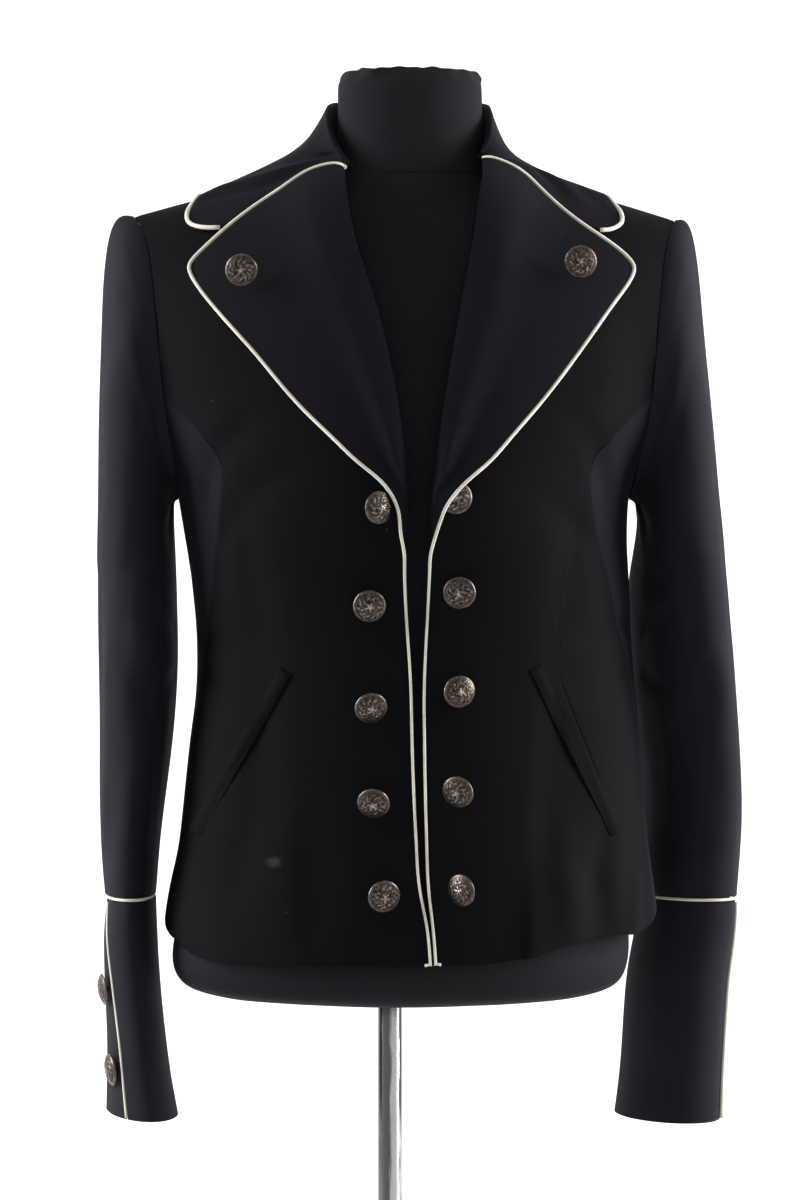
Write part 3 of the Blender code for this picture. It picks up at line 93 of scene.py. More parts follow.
cove = [(0, 0), (FLOOR_REACH, 0)]
cove_radius = WALL_REACH - FLOOR_REACH
for turn in np.linspace(0, math.pi / 2, 9)[1:]:
    cove.append((FLOOR_REACH + cove_radius * math.sin(turn), cove_radius * (1 - math.cos(turn))))
cove.append((WALL_REACH, WALL_TOP))
bm = spun(cove, steps=72)
bmesh.ops.reverse_faces(bm, faces=bm.faces)
studio = smooth(new_object("studio_floor_and_wall", bm))
paper, nodes, links, shader = new_material("pale_paper")
place = nodes.new("ShaderNodeTexCoord").outputs["Object"]
split = nodes.new("ShaderNodeSeparateXYZ")
links.new(place, split.inputs[0])
# painted light: the paper glows by itself, from FRONT_GLOW in front of the object up to BACK_GLOW behind it
lit = nodes.new("ShaderNodeMapRange")      # the paper behind the object is lit brighter than the rest
lit.interpolation_type = "SMOOTHSTEP"
lit.inputs["From Min"].default_value = LIT_FROM
lit.inputs["From Max"].default_value = LIT_TO
lit.inputs["To Min"].default_value = FRONT_GLOW
lit.inputs["To Max"].default_value = BACK_GLOW
links.new(split.outputs["Y"], lit.inputs["Value"])
links.new(lit.outputs["Result"], shader.inputs["Emission Strength"])
shader.inputs["Base Color"].default_value = PALE
shader.inputs["Roughness"].default_value = 0.9
shader.inputs["Specular IOR Level"].default_value = 0.0
shader.inputs["Emission Color"].default_value = (1, 1, 1, 1)
studio.data.materials.append(paper)

sky = bpy.data.worlds.new("soft_sky")
scene.world = sky
sky.use_nodes = True
sky.node_tree.nodes["Background"].inputs["Color"].default_value = (0.97, 0.98, 1.0, 1)
sky.node_tree.nodes["Background"].inputs["Strength"].default_value = SKY_GLOW
scene.view_settings.view_transform = "Standard"

SOFTBOXES = {      # place, what it faces, width, height, power
    "key_left": ((-2.3, -0.05, 1.5), (-0.1, 0, 0.75), 1.0, 1.8, 95),
    "fill_right": ((2.4, 0.0, 1.3), (0.1, 0, 0.70), 1.0, 1.8, 120),
    "overhead": ((0.1, 0.3, 2.9), (0, 0, 0.7), 2.0, 1.2, 6),
}
for name, (place, faces, width, height, power) in SOFTBOXES.items():
    lamp = bpy.data.lights.new(name, "AREA")
    lamp.shape = "RECTANGLE"
    lamp.size, lamp.size_y, lamp.energy = width, height, power
    box = bpy.data.objects.new(name, lamp)
    scene.collection.objects.link(box)
    box.location = place
    box.rotation_euler = (Vector(faces) - Vector(place)).to_track_quat("-Z", "Y").to_euler()

camera = bpy.data.objects.new("camera", bpy.data.cameras.new("camera"))
scene.collection.objects.link(camera)
camera.location = CAMERA_PLACE
camera.rotation_euler = (math.pi / 2, 0, 0)
camera.data.sensor_fit = "VERTICAL"
camera.data.angle = 2 * math.atan(HALF_HEIGHT_SEEN / -CAMERA_PLACE[1])
camera.data.clip_end = 40
scene.camera = camera

# ---------------------------------------------------------------- Fronts, side panels and backs
# Black fine-ribbed wool twill, cut in panels and sewn edge to edge, each 2 mm thick with its edges rolled
# where the seams turn them under. The cloth hangs on the form in soft shallow folds.
BODY_CENTRE = (0.015, 0.0)         # of the ellipse that the body is taken round, looking down
BODY_HALF_WIDTH, BODY_HALF_DEPTH = 0.170, 0.115
ROLLED_EDGE = 0.0004
SHARP = math.radians(55)           # an edge that bends more is a cut one, and is rolled
FOLDS_HELD, FOLDS_FREE = 0.86, 0.80     # the folds die out between these heights, up to the armholes' tops
ARMHOLE_DIP = 0.0002               # of the cloth beside the armhole's seam
DIP_REACH = 0.014
SEAM_LET_OUT = 0.00013             # how far each cut edge is let out to close its seam
HEM_CURL = 0.0065                  # how far the hem curls in at the sides
CURL_HEIGHT = 0.013
CURL_FROM, CURL_TO = 0.13, 0.19    # how far round the body from the centre front it grows
HEM_STEP = 0.012                   # the hem's height is read in steps this wide
HEM_SPREAD = 400                   # and then evened over this many points each way
WOOL_RIB = 0.0008
BLACK_WOOL = (0.0056, 0.0052, 0.0074, 1)
# the fronts' and welts' copy of the black wool, painted darker than BLACK_WOOL: painted shade
SHADED_FRONT_WOOL = (0.0027, 0.0025, 0.0036, 1)
LINT_GREY = (0.05, 0.05, 0.052, 1)
SCUFF_GREY = (0.034, 0.034, 0.037, 1)
GREY_BLOOM = (0.62, 0.68, 0.86, 1)   # of the nap where light grazes it

arc_turns = np.linspace(-math.pi, math.pi, 721)
arc_steps = np.hypot(BODY_HALF_WIDTH * np.cos(arc_turns), BODY_HALF_DEPTH * np.sin(arc_turns))
arc_lengths = np.concatenate([[0], np.cumsum((arc_steps[1:] + arc_steps[:-1]) / 2 * np.diff(arc_turns))])
arc_lengths -= np.interp(0, arc_turns, arc_lengths)


def level_ways(x, y):
    """Unit vectors, without height, from each point's x and y."""
    ways = np.stack([x, y, np.zeros_like(x)], axis=-1)
    return ways / (np.linalg.norm(ways, axis=1, keepdims=True) + 1e-9)


def round_body(points):
    """How far round the body each point lies (metres from the centre front, + to +X), its height, and the
    way out."""
    x, y = points[:, 0] - BODY_CENTRE[0], points[:, 1] - BODY_CENTRE[1]
    turn = np.arctan2(x / BODY_HALF_WIDTH, -y / BODY_HALF_DEPTH)
    out = level_ways(x / BODY_HALF_WIDTH**2, y / BODY_HALF_DEPTH**2)
    return np.interp(turn, arc_turns, arc_lengths), points[:, 2], out


def eased(share):
    """A share of 0 to 1, with a soft start and end."""
    return share * share * (3 - 2 * share)


def fold_heights(around, up, folds):
    """The height of a set of listed folds. Each row is a line on the cloth (around, up to around, up),
    its width, its height (minus for a trough) and how far it bows. A trough has a soft ridge on each side."""
    total = np.zeros_like(around)
    for start_a, start_u, end_a, end_u, width, height, bow in folds:
        along = np.array([end_a - start_a, end_u - start_u])
        length = np.hypot(*along)
        along /= length
        across = np.array([-along[1], along[0]])
        da, du = around - start_a, up - start_u
        t = (da * along[0] + du * along[1]) / length
        bowed = bow * 4 * np.clip(t, 0, 1) * (1 - np.clip(t, 0, 1)) + 0.0012 * np.sin(9 * t + 40 * start_u)
        d = (da * across[0] + du * across[1] - bowed) / (width * (0.8 + 0.35 * np.clip(t, 0, 1)))
        ends = eased(np.clip(np.minimum((t + 0.12) / 0.34, (1.12 - t) / 0.46), 0, 1))
        uneven = 1 + 0.22 * np.sin(7.3 * t + 31 * start_a) + 0.12 * np.sin(17 * t + 50 * start_u)
        total += height * uneven * ends * (1 - 0.7 * d * d) * np.exp(-d * d)
    return total


def slack(around, up):
    """The small unevenness that pressed cloth keeps: long shallow waves, under half a millimetre."""
    return 0.00022 * (np.sin(23 * around + 9 * up) + np.sin(41 * up - 13 * around + 1.3)
                      + 0.7 * np.sin(67 * around + 29 * up + 0.4))


def read_points(obj, what="co"):
    """The piece's points as rows of x, y and z, or its normals."""
    flat = np.empty(len(obj.data.vertices) * 3, np.float32)
    obj.data.vertices.foreach_get(what, flat)
    return flat.reshape(-1, 3).astype(float)


def place_points(obj, points):
    obj.data.vertices.foreach_set("co", points.astype(np.float32).ravel())
    obj.data.update()


def lay_weave(obj, around, up):
    """The weave's own map: metres round the piece and metres up it."""
    layer = obj.data.uv_layers.new(name="weave")
    corners = np.empty(len(obj.data.loops), np.int32)
    obj.data.loops.foreach_get("vertex_index", corners)
    u, v = around[corners], up[corners]
    # a face that straddles the back, where the count starts again, keeps to one side of it
    starts = np.empty(len(obj.data.polygons), np.int32)
    totals = np.empty(len(obj.data.polygons), np.int32)
    obj.data.polygons.foreach_get("loop_start", starts)
    obj.data.polygons.foreach_get("loop_total", totals)
    first = np.repeat(u[starts], totals)
    whole = arc_lengths[-1] - arc_lengths[0]
    u = np.where(u - first > whole / 2, u - whole, np.where(first - u > whole / 2, u + whole, u))
    layer.data.foreach_set("uv", np.stack([u, v], axis=-1).astype(np.float32).ravel())


def hand_over(obj, node, material):
    """A finished piece, smooth and in one material, which stands for its CAD node."""
    obj.data.materials.clear()
    obj.data.materials.append(material)
    smooth(obj)
    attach(obj, "root")
    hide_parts(node)


def cad_copy(node):
    """A CAD node's mesh to work on: its points joined up, and its triangles paired into faces of four."""
    bm = bmesh.new()
    bm.from_mesh(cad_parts[node].data)
    bmesh.ops.remove_doubles(bm, verts=bm.verts, dist=2 * SAME_PLACE)
    bmesh.ops.join_triangles(bm, faces=bm.faces, angle_face_threshold=math.radians(50),
                             angle_shape_threshold=math.radians(80))
    return bm


def crease_sharp(bm, sharp, amount):
    """Keeps the edges that bend more than a given angle crisp when the mesh is subdivided."""
    crease = bm.edges.layers.float.new("crease_edge")
    for rim in bm.edges:
        if rim.calc_face_angle(0) > sharp:
            rim[crease] = amount


def finer(bm, name, levels, rounds=4):
    """The mesh, subdivided with its creased edges kept, as a new object that still runs through its first
    points: each round moves them by what the last one missed."""
    obj = new_object(name, bm)
    rounder = obj.modifiers.new("rounder", "SUBSURF")
    rounder.levels = rounder.render_levels = levels
    rounder.use_limit_surface = False
    wanted = read_points(obj)
    for _ in range(rounds):
        depsgraph = bpy.context.evaluated_depsgraph_get()
        reached = np.array([v.co for v in obj.evaluated_get(depsgraph).data.vertices[:len(wanted)]])
        place_points(obj, read_points(obj) + (wanted - reached))
    depsgraph = bpy.context.evaluated_depsgraph_get()
    mesh = bpy.data.meshes.new_from_object(obj.evaluated_get(depsgraph))
    old = obj.data
    obj.modifiers.clear()
    obj.data = mesh
    mesh.name = name
    bpy.data.meshes.remove(old)
    return obj


def cut_cloth(node, levels, edge=ROLLED_EDGE, sharp=SHARP):
    """The cloth piece that stands for a CAD node: its form made fine, its cut edges rolled."""
    bm = cad_copy(node)
    crease_sharp(bm, sharp, 1)
    obj = finer(bm, "cloth_" + node, levels)
    bm = bmesh.new()
    bm.from_mesh(obj.data)
    rims = [rim for rim in bm.edges if rim.calc_face_angle(0) > sharp]
    bmesh.ops.bevel(bm, geom=rims, offset=edge, offset_type="OFFSET", affect="EDGES", segments=2,
                    profile=0.5, material=-1, clamp_overlap=True)
    bm.to_mesh(obj.data)
    bm.free()
    return obj


def group_socket(group, name, kind, value=None, out=False):
    socket = group.interface.new_socket(name=name, in_out="OUTPUT" if out else "INPUT", socket_type=kind)
    if value is not None:
        socket.default_value = value


def worked_out(nodes, links, kind, *inputs, vector=False, clamp=False):
    """The output of a new maths node, with its inputs set to the given numbers or outputs."""
    node = nodes.new("ShaderNodeVectorMath" if vector else "ShaderNodeMath")
    node.operation = kind
    if clamp:
        node.use_clamp = True
    for socket, value in zip(node.inputs, inputs):
        if isinstance(value, (int, float)):
            socket.default_value = value
        else:
            links.new(value, socket)
    return node.outputs["Value"] if kind in ("DOT_PRODUCT", "LENGTH") else node.outputs[0]


def speckle(nodes, links, scale, detail, place=None):
    """A noise texture of a given scale and detail, read at a given place; returns its grey output."""
    texture = nodes.new("ShaderNodeTexNoise")
    texture.inputs["Scale"].default_value = scale
    texture.inputs["Detail"].default_value = detail
    links.new(place or nodes.new("ShaderNodeTexCoord").outputs["Object"], texture.inputs["Vector"])
    return texture.outputs["Fac"]


def relief_on(shader, nodes, links, height, strength, distance):
    """Bumps the shader's surface by a height."""
    relief = nodes.new("ShaderNodeBump")
    relief.inputs["Strength"].default_value = strength
    relief.inputs["Distance"].default_value = distance
    links.new(height, relief.inputs["Height"])
    links.new(relief.outputs["Normal"], shader.inputs["Normal"])


def wool_weave():
    """A node group for twill: fine slanting ribs crossed by the weft, with fuzz, slow shading and lint."""
    group = bpy.data.node_groups.new("wool_weave", "ShaderNodeTree")
    group_socket(group, "Colour", "NodeSocketColor", BLACK_WOOL)
    group_socket(group, "Rib Spacing", "NodeSocketFloat", WOOL_RIB)
    group_socket(group, "Lint", "NodeSocketFloat", 1.0)
    group_socket(group, "Colour", "NodeSocketColor", out=True)
    group_socket(group, "Roughness", "NodeSocketFloat", out=True)
    group_socket(group, "Height", "NodeSocketFloat", out=True)
    nodes, links = group.nodes, group.links
    given = nodes.new("NodeGroupInput")
    made = nodes.new("NodeGroupOutput")

    def maths(kind, *inputs):
        return worked_out(nodes, links, kind, *inputs)

    woven = nodes.new("ShaderNodeUVMap")
    woven.uv_map = "weave"
    split = nodes.new("ShaderNodeSeparateXYZ")
    links.new(woven.outputs["UV"], split.inputs[0])
    across, up = split.outputs["X"], split.outputs["Y"]
    turns = maths("DIVIDE", math.tau, given.outputs["Rib Spacing"])
    slant = maths("ADD", maths("MULTIPLY", across, 0.90), maths("MULTIPLY", up, 0.43))
    rib = maths("SINE", maths("MULTIPLY", slant, turns))
    weft = maths("SINE", maths("MULTIPLY", maths("MULTIPLY", up, turns), 1.35))
    place = nodes.new("ShaderNodeTexCoord").outputs["Object"]
    fuzz = speckle(nodes, links, 1400, 3, place)
    cloud = speckle(nodes, links, 16, 4, place)
    specks = nodes.new("ShaderNodeTexVoronoi")
    specks.inputs["Scale"].default_value = 55
    links.new(place, specks.inputs["Vector"])
    chosen = nodes.new("ShaderNodeSeparateColor")
    links.new(specks.outputs["Color"], chosen.inputs[0])
    near = maths("LESS_THAN", specks.outputs["Distance"], 0.028)
    few = maths("GREATER_THAN", chosen.outputs[0], 0.86)
    lint = maths("MULTIPLY", maths("MULTIPLY", near, few), given.outputs["Lint"])
    shade = maths("ADD", maths("MULTIPLY_ADD", cloud, 0.50, 0.72),
                  maths("MULTIPLY_ADD", rib, 0.03, maths("MULTIPLY", fuzz, 0.10)))
    dyed = nodes.new("ShaderNodeVectorMath")
    dyed.operation = "SCALE"
    links.new(given.outputs["Colour"], dyed.inputs[0])
    links.new(shade, dyed.inputs["Scale"])
    dusted = nodes.new("ShaderNodeMix")
    dusted.data_type = "RGBA"
    dusted.inputs[7].default_value = LINT_GREY
    links.new(lint, dusted.inputs["Factor"])
    links.new(dyed.outputs[0], dusted.inputs[6])
    links.new(dusted.outputs[2], made.inputs["Colour"])
    links.new(maths("MULTIPLY_ADD", cloud, 0.14, 0.76), made.inputs["Roughness"])
    height = maths("ADD", maths("MULTIPLY_ADD", rib, 0.30, maths("MULTIPLY", weft, 0.14)),
                   maths("MULTIPLY", fuzz, 0.9))
    links.new(height, made.inputs["Height"])
    return group


wool_group = wool_weave()


def sewn_line_group():
    """A node group for a pressed line on the cloth's own map: a dip with one raised lip, its colour scaled
    along the line by Tone, which paints shade in the dip when minus.
    """
    group = bpy.data.node_groups.new("sewn_line", "ShaderNodeTree")
    group_socket(group, "Colour", "NodeSocketColor", BLACK_WOOL)
    group_socket(group, "Height", "NodeSocketFloat", 0.0)
    group_socket(group, "From", "NodeSocketVector")
    group_socket(group, "To", "NodeSocketVector")
    for name, value in (("Bow", 0.0), ("Width", 0.0006), ("Dip", 1.0), ("Lip", 1.0), ("Tone", 0.5)):
        group_socket(group, name, "NodeSocketFloat", value)
    group_socket(group, "Colour", "NodeSocketColor", out=True)
    group_socket(group, "Height", "NodeSocketFloat", out=True)
    nodes, links = group.nodes, group.links
    given = nodes.new("NodeGroupInput")
    made = nodes.new("NodeGroupOutput")

    def maths(kind, *inputs, **how):
        return worked_out(nodes, links, kind, *inputs, **how)

    woven = nodes.new("ShaderNodeUVMap")
    woven.uv_map = "weave"
    reach = maths("SUBTRACT", woven.outputs["UV"], given.outputs["From"], vector=True)
    run = maths("SUBTRACT", given.outputs["To"], given.outputs["From"], vector=True)
    length = maths("LENGTH", run, vector=True)
    shadow = maths("DOT_PRODUCT", reach, run, vector=True)
    along = maths("DIVIDE", shadow, maths("MULTIPLY", length, length))
    turned = nodes.new("ShaderNodeSeparateXYZ")
    links.new(maths("CROSS_PRODUCT", run, reach, vector=True), turned.inputs[0])
    left_over = maths("SUBTRACT", 1.0, along)
    arch = maths("MULTIPLY", along, left_over)
    bowed = maths("MULTIPLY", arch, maths("MULTIPLY", given.outputs["Bow"], 4.0))
    aside = maths("SUBTRACT", maths("DIVIDE", turned.outputs["Z"], length), bowed)
    share = maths("DIVIDE", aside, given.outputs["Width"])
    bell = maths("EXPONENT", maths("MULTIPLY", maths("MULTIPLY", share, share), -1.0))
    ends = maths("MULTIPLY", maths("MULTIPLY", along, 12.0, clamp=True),
                 maths("MULTIPLY", left_over, 12.0, clamp=True))
    bell = maths("MULTIPLY", bell, ends)
    dip = maths("MULTIPLY", bell, given.outputs["Dip"])
    lip = maths("MULTIPLY", maths("MULTIPLY", bell, share), given.outputs["Lip"])
    links.new(maths("ADD", maths("SUBTRACT", given.outputs["Height"], dip), lip), made.inputs["Height"])
    links.new(maths("SCALE", given.outputs["Colour"], vector=True), made.inputs["Colour"])
    shaded = made.inputs["Colour"].links[0].from_node
    # painted shade: along the line the colour is scaled by 1 + Tone, darker where Tone is minus
    links.new(maths("MULTIPLY_ADD", bell, given.outputs["Tone"], 1.0), shaded.inputs["Scale"])
    return group


line_group = sewn_line_group()


def wool_material(name, colour, rib=WOOL_RIB, lint=1.0, bump=0.45, sheen=0.03, specular=0.07):
    """A woven or knitted cloth of one dye; the more sheen, the paler its nap where light grazes it."""
    material, nodes, links, shader = new_material(name)
    weave = nodes.new("ShaderNodeGroup")
    weave.node_tree = wool_group
    weave.inputs["Colour"].default_value = colour
    weave.inputs["Rib Spacing"].default_value = rib
    weave.inputs["Lint"].default_value = lint
    links.new(weave.outputs["Colour"], shader.inputs["Base Color"])
    links.new(weave.outputs["Roughness"], shader.inputs["Roughness"])
    relief_on(shader, nodes, links, weave.outputs["Height"], bump, 0.0003)
    shader.inputs["Specular IOR Level"].default_value = specular
    shader.inputs["Sheen Weight"].default_value = sheen
    shader.inputs["Sheen Roughness"].default_value = 0.30
    shader.inputs["Sheen Tint"].default_value = GREY_BLOOM
    return material


def sew_line(material, start, end, bow=0.0, width=0.0006, dip=1.0, lip=1.0, tone=-0.5):
    """Adds a pressed line to a cloth, from one place on its map to another. Tone darkens it when minus, as
    painted shade along the line.
    """
    nodes, links = material.node_tree.nodes, material.node_tree.links
    line = nodes.new("ShaderNodeGroup")
    line.node_tree = line_group
    for target, name in ((nodes["Principled BSDF"].inputs["Base Color"], "Colour"),
                         (nodes["Bump"].inputs["Height"], "Height")):
        links.new(target.links[0].from_socket, line.inputs[name])
        links.new(line.outputs[name], target)
    line.inputs["From"].default_value = (*start, 0)
    line.inputs["To"].default_value = (*end, 0)
    for name, value in (("Bow", bow), ("Width", width), ("Dip", dip), ("Lip", lip), ("Tone", tone)):
        line.inputs[name].default_value = value


def wear_patch(material, centre, size):
    """A few pale scuffed threads, standing upright, within an oval of the cloth's map."""
    nodes, links = material.node_tree.nodes, material.node_tree.links
    target = nodes["Principled BSDF"].inputs["Base Color"]
    woven = nodes.new("ShaderNodeUVMap")
    woven.uv_map = "weave"
    oval = nodes.new("ShaderNodeMapping")
    oval.vector_type = "TEXTURE"
    oval.inputs["Location"].default_value = (*centre, 0)
    oval.inputs["Scale"].default_value = (*size, 1)
    links.new(woven.outputs["UV"], oval.inputs["Vector"])
    reach = nodes.new("ShaderNodeVectorMath")
    reach.operation = "LENGTH"
    links.new(oval.outputs["Vector"], reach.inputs[0])
    threads = nodes.new("ShaderNodeMapping")
    threads.inputs["Scale"].default_value = (1900, 210, 1)
    links.new(woven.outputs["UV"], threads.inputs["Vector"])
    grain = speckle(nodes, links, 1.0, 3, threads.outputs["Vector"])
    left = nodes.new("ShaderNodeMapRange")         # 1 in the oval's middle, 0 from its rim
    left.inputs["From Min"].default_value = 1.0
    left.inputs["From Max"].default_value = 0.2
    links.new(reach.outputs["Value"], left.inputs["Value"])
    bare = worked_out(nodes, links, "MULTIPLY", left.outputs["Result"], grain)
    shown = nodes.new("ShaderNodeMapRange")
    shown.inputs["From Min"].default_value = 0.38
    shown.inputs["From Max"].default_value = 0.60
    links.new(bare, shown.inputs["Value"])
    pale = nodes.new("ShaderNodeMix")
    pale.data_type = "RGBA"
    pale.inputs[7].default_value = SCUFF_GREY
    links.new(shown.outputs["Result"], pale.inputs["Factor"])
    links.new(target.links[0].from_socket, pale.inputs[6])
    links.new(pale.outputs[2], target)


wool = wool_material("black_wool_twill", BLACK_WOOL)
# the fronts take the darker copy of the wool: painted shade
front_wool = {side: wool_material(f"black_wool_twill_front_shaded_{side}", SHADED_FRONT_WOOL, sheen=0.014, specular=0.06)
              for side in ("left", "right")}
# side; from and to, each as around and up; bow, width, dip, lip, tone (minus paints shade along the line)
PRESSED_LINES = [
    # the darts: from under the lapel down through the pocket, with a little painted shade in each dip
    ("left", (0.1204, 0.626), (0.1200, 0.740), 0.0040, 0.0007, 1.2, -1.6, -0.3),
    ("left", (0.0985, 0.490), (0.1120, 0.575), 0.0, 0.0007, 0.5, -0.7, -0.2),
    ("right", (-0.0945, 0.616), (-0.0950, 0.735), 0.0, 0.0007, 0.6, 0.9, -0.2),
    ("right", (-0.1034, 0.500), (-0.1054, 0.545), 0.0, 0.0007, 0.5, 0.7, -0.2),
    # the pockets' mouths, beside the welts' free edges, darkened as a painted shadow in the slit
    ("right", (-0.1836, 0.4913), (-0.1010, 0.6144), 0.0, 0.0009, 2.4, 0.6, -0.8),
    ("left", (0.1590, 0.4979), (0.1172, 0.6125), 0.0, 0.0009, 2.8, -0.6, -0.9),
]
for side, *line in PRESSED_LINES:
    sew_line(front_wool[side], *line)
wear_patch(front_wool["right"], (-0.0950, 0.4782), (0.0185, 0.0105))

# around, up to around, up; width; height (minus for a trough); bow
BODY_FOLDS = [
    (-0.165, 0.735, -0.105, 0.800, 0.013, -0.0022, 0.006),
    (-0.150, 0.705, -0.075, 0.765, 0.014, -0.0016, 0.006),
    (0.160, 0.735, 0.105, 0.805, 0.013, -0.0020, -0.006),
    (0.150, 0.700, 0.070, 0.750, 0.014, -0.0014, -0.005),
    (-0.205, 0.640, -0.130, 0.628, 0.013, -0.0016, 0.003),
    (-0.200, 0.612, -0.120, 0.596, 0.012, -0.0014, 0.003),
    (0.205, 0.650, 0.130, 0.632, 0.013, -0.0016, -0.003),
    (0.200, 0.618, 0.125, 0.604, 0.012, -0.0013, 0.003),
    (-0.118, 0.575, -0.128, 0.425, 0.018, -0.0018, 0.004),
    (-0.070, 0.520, -0.062, 0.412, 0.018, -0.0013, 0.003),
    (0.1440, 0.505, 0.132, 0.402, 0.015, -0.0044, -0.003),
    (0.113, 0.510, 0.107, 0.410, 0.013, 0.0022, -0.002),
    (0.178, 0.470, 0.171, 0.405, 0.013, 0.0024, -0.002),
    # the back: long soft folds from the waist down, and drag lines over the blades
    (0.300, 0.560, 0.292, 0.415, 0.018, -0.0024, 0.004),
    (-0.300, 0.555, -0.290, 0.415, 0.018, -0.0022, -0.004),
    (0.375, 0.540, 0.370, 0.412, 0.020, -0.0018, 0.004),
    (-0.370, 0.545, -0.375, 0.412, 0.020, -0.0019, -0.004),
    (0.240, 0.730, 0.310, 0.800, 0.014, -0.0020, 0.006),
    (-0.240, 0.730, -0.310, 0.800, 0.014, -0.0021, -0.006),
    (0.235, 0.640, 0.330, 0.620, 0.013, -0.0018, 0.004),
    (-0.235, 0.645, -0.330, 0.625, 0.013, -0.0018, -0.004),
    (0.250, 0.610, 0.340, 0.596, 0.012, -0.0015, 0.003),
    (-0.250, 0.612, -0.345, 0.600, 0.012, -0.0016, -0.003),
]


def beside(points, neighbours, reach):
    """1 where a point touches one of the neighbouring CAD nodes, falling to 0 at the given reach."""
    away = np.full(len(points), reach)
    for name in neighbours:
        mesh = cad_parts[name].data
        faces = [face.vertices for face in mesh.polygons]
        tree = bvhtree.BVHTree.FromPolygons([v.co for v in mesh.vertices], faces)
        found = [tree.find_nearest(point, reach)[3] for point in points]
        away = np.minimum(away, [reach if distance is None else distance for distance in found])
    near = 1 - away / reach
    return near * near


def seams_closed(obj, points, out):
    """The points with each cut edge let out sideways, so that two sewn pieces meet without a gap of air."""
    normals = read_points(obj, "normal")
    return points + SEAM_LET_OUT * (normals - out * (normals * out).sum(1)[:, None])


def hem_curl(around, up):
    """How far the pressed hem curls in at the sides, from each point's height over the hem below it."""
    steps = np.round(around / HEM_STEP)
    hem = np.empty_like(up)
    for step in np.unique(steps):
        here = steps == step
        hem[here] = up[here].min()
    order = np.argsort(around)
    evened = np.ones(2 * HEM_SPREAD + 1) / (2 * HEM_SPREAD + 1)
    hem[order] = np.convolve(np.pad(hem[order], HEM_SPREAD, "edge"), evened, "valid")
    low = np.clip(1 - (up - hem) / CURL_HEIGHT, 0, 1.2)
    return HEM_CURL * low**2 * np.clip((np.abs(around) - CURL_FROM) / (CURL_TO - CURL_FROM), 0, 1)


# width and length of each panel's pattern piece, of what shows
PANEL_CUTS = {"front": (0.215, 0.600), "side": (0.110, 0.410), "back": (0.220, 0.600)}


def finish_cloth(obj, node, material=wool):
    """Hands a cloth piece over."""
    hand_over(obj, node, material)


for side in ("left", "right"):
    for panel, cut in PANEL_CUTS.items():
        node = f"{panel}_{side}"
        obj = cut_cloth(node, 3)
        points = read_points(obj)
        around, up, out = round_body(points)
        moved = fold_heights(around, up, BODY_FOLDS) + slack(around, up)
        moved *= np.clip((FOLDS_HELD - up) / (FOLDS_HELD - FOLDS_FREE), 0, 1)
        moved -= hem_curl(around, up)
        if panel != "side":
            sleeve = [f"upper_sleeve_{side}", f"under_sleeve_{side}"]
            moved -= ARMHOLE_DIP * beside(points, sleeve, DIP_REACH)
        place_points(obj, seams_closed(obj, points, out) + out * moved[:, None])
        lay_weave(obj, around, up)
        finish_cloth(obj, node, material=front_wool[side] if panel == "front" else wool)

# ---------------------------------------------------------------- Lapels and collar
# The facings' turned-over lapels and the one-piece collar with its stand, in the same twill with their grain
# laid straight down them. Their edges roll softly against the piping.
SOFT_EDGE = 0.0006
COLLAR_SHARP = math.radians(62)
NECK_BACK, NECK_RADIUS = 0.02, 0.085       # the neck's middle in depth, and its radius with the collar on

for side in ("left", "right"):
    node = f"lapel_{side}"
    obj = cut_cloth(node, 3, edge=SOFT_EDGE)
    points = read_points(obj)
    lay_weave(obj, points[:, 0], points[:, 2] - 0.35 * points[:, 1])
    finish_cloth(obj, node)

obj = cut_cloth("collar", 2, edge=SOFT_EDGE, sharp=COLLAR_SHARP)
points = read_points(obj)
x, y = points[:, 0] - BODY_CENTRE[0], points[:, 1] - NECK_BACK
lay_weave(obj, np.arctan2(x, -y) * NECK_RADIUS, np.hypot(x, y) * 0.8 - points[:, 2])
finish_cloth(obj, "collar")

# ---------------------------------------------------------------- Sleeves and cuffs
# Two-piece set-in sleeves, the upper over the under, each ending in a deep narrower cuff that opens down a
# slit on its outer side. The cloth breaks softly at the elbow and above the cuff.
SLEEVE_CUTS = {"upper_sleeve": (0.250, 0.520), "under_sleeve": (0.130, 0.400)}
SLEEVE_EDGE = 0.00025
SLEEVE_DIP_REACH = 0.012
# the sleeves' and cuffs' copy of the black wool, painted paler than BLACK_WOOL: painted light
LIT_SLEEVE_WOOL = (0.0110, 0.0103, 0.0140, 1)
SLEEVE_REACH = 0.050               # a sleeve's mean radius, for reading turns as metres
AXIS_FROM, AXIS_TO = 0.30, 0.80    # the heights between which a sleeve's middle is read off its CAD
AXIS_SLICE = 0.026                 # half a slice's height
AXIS_RISE = 0.17                   # how far the middle line runs on straight, up to the sleeve's head
SLEEVE_FOLDS_HELD, SLEEVE_FOLDS_FREE = 0.90, 0.82
SLEEVE_ENDS = {"left": 0.4425, "right": 0.4465}     # the height where the cuff is sewn on
CUFF_HANG = {"left": 0.005, "right": 0.0}     # how far a cuff's end hangs lower than pressed flat
HANG_FROM, HANG_TO = 0.37, 0.28
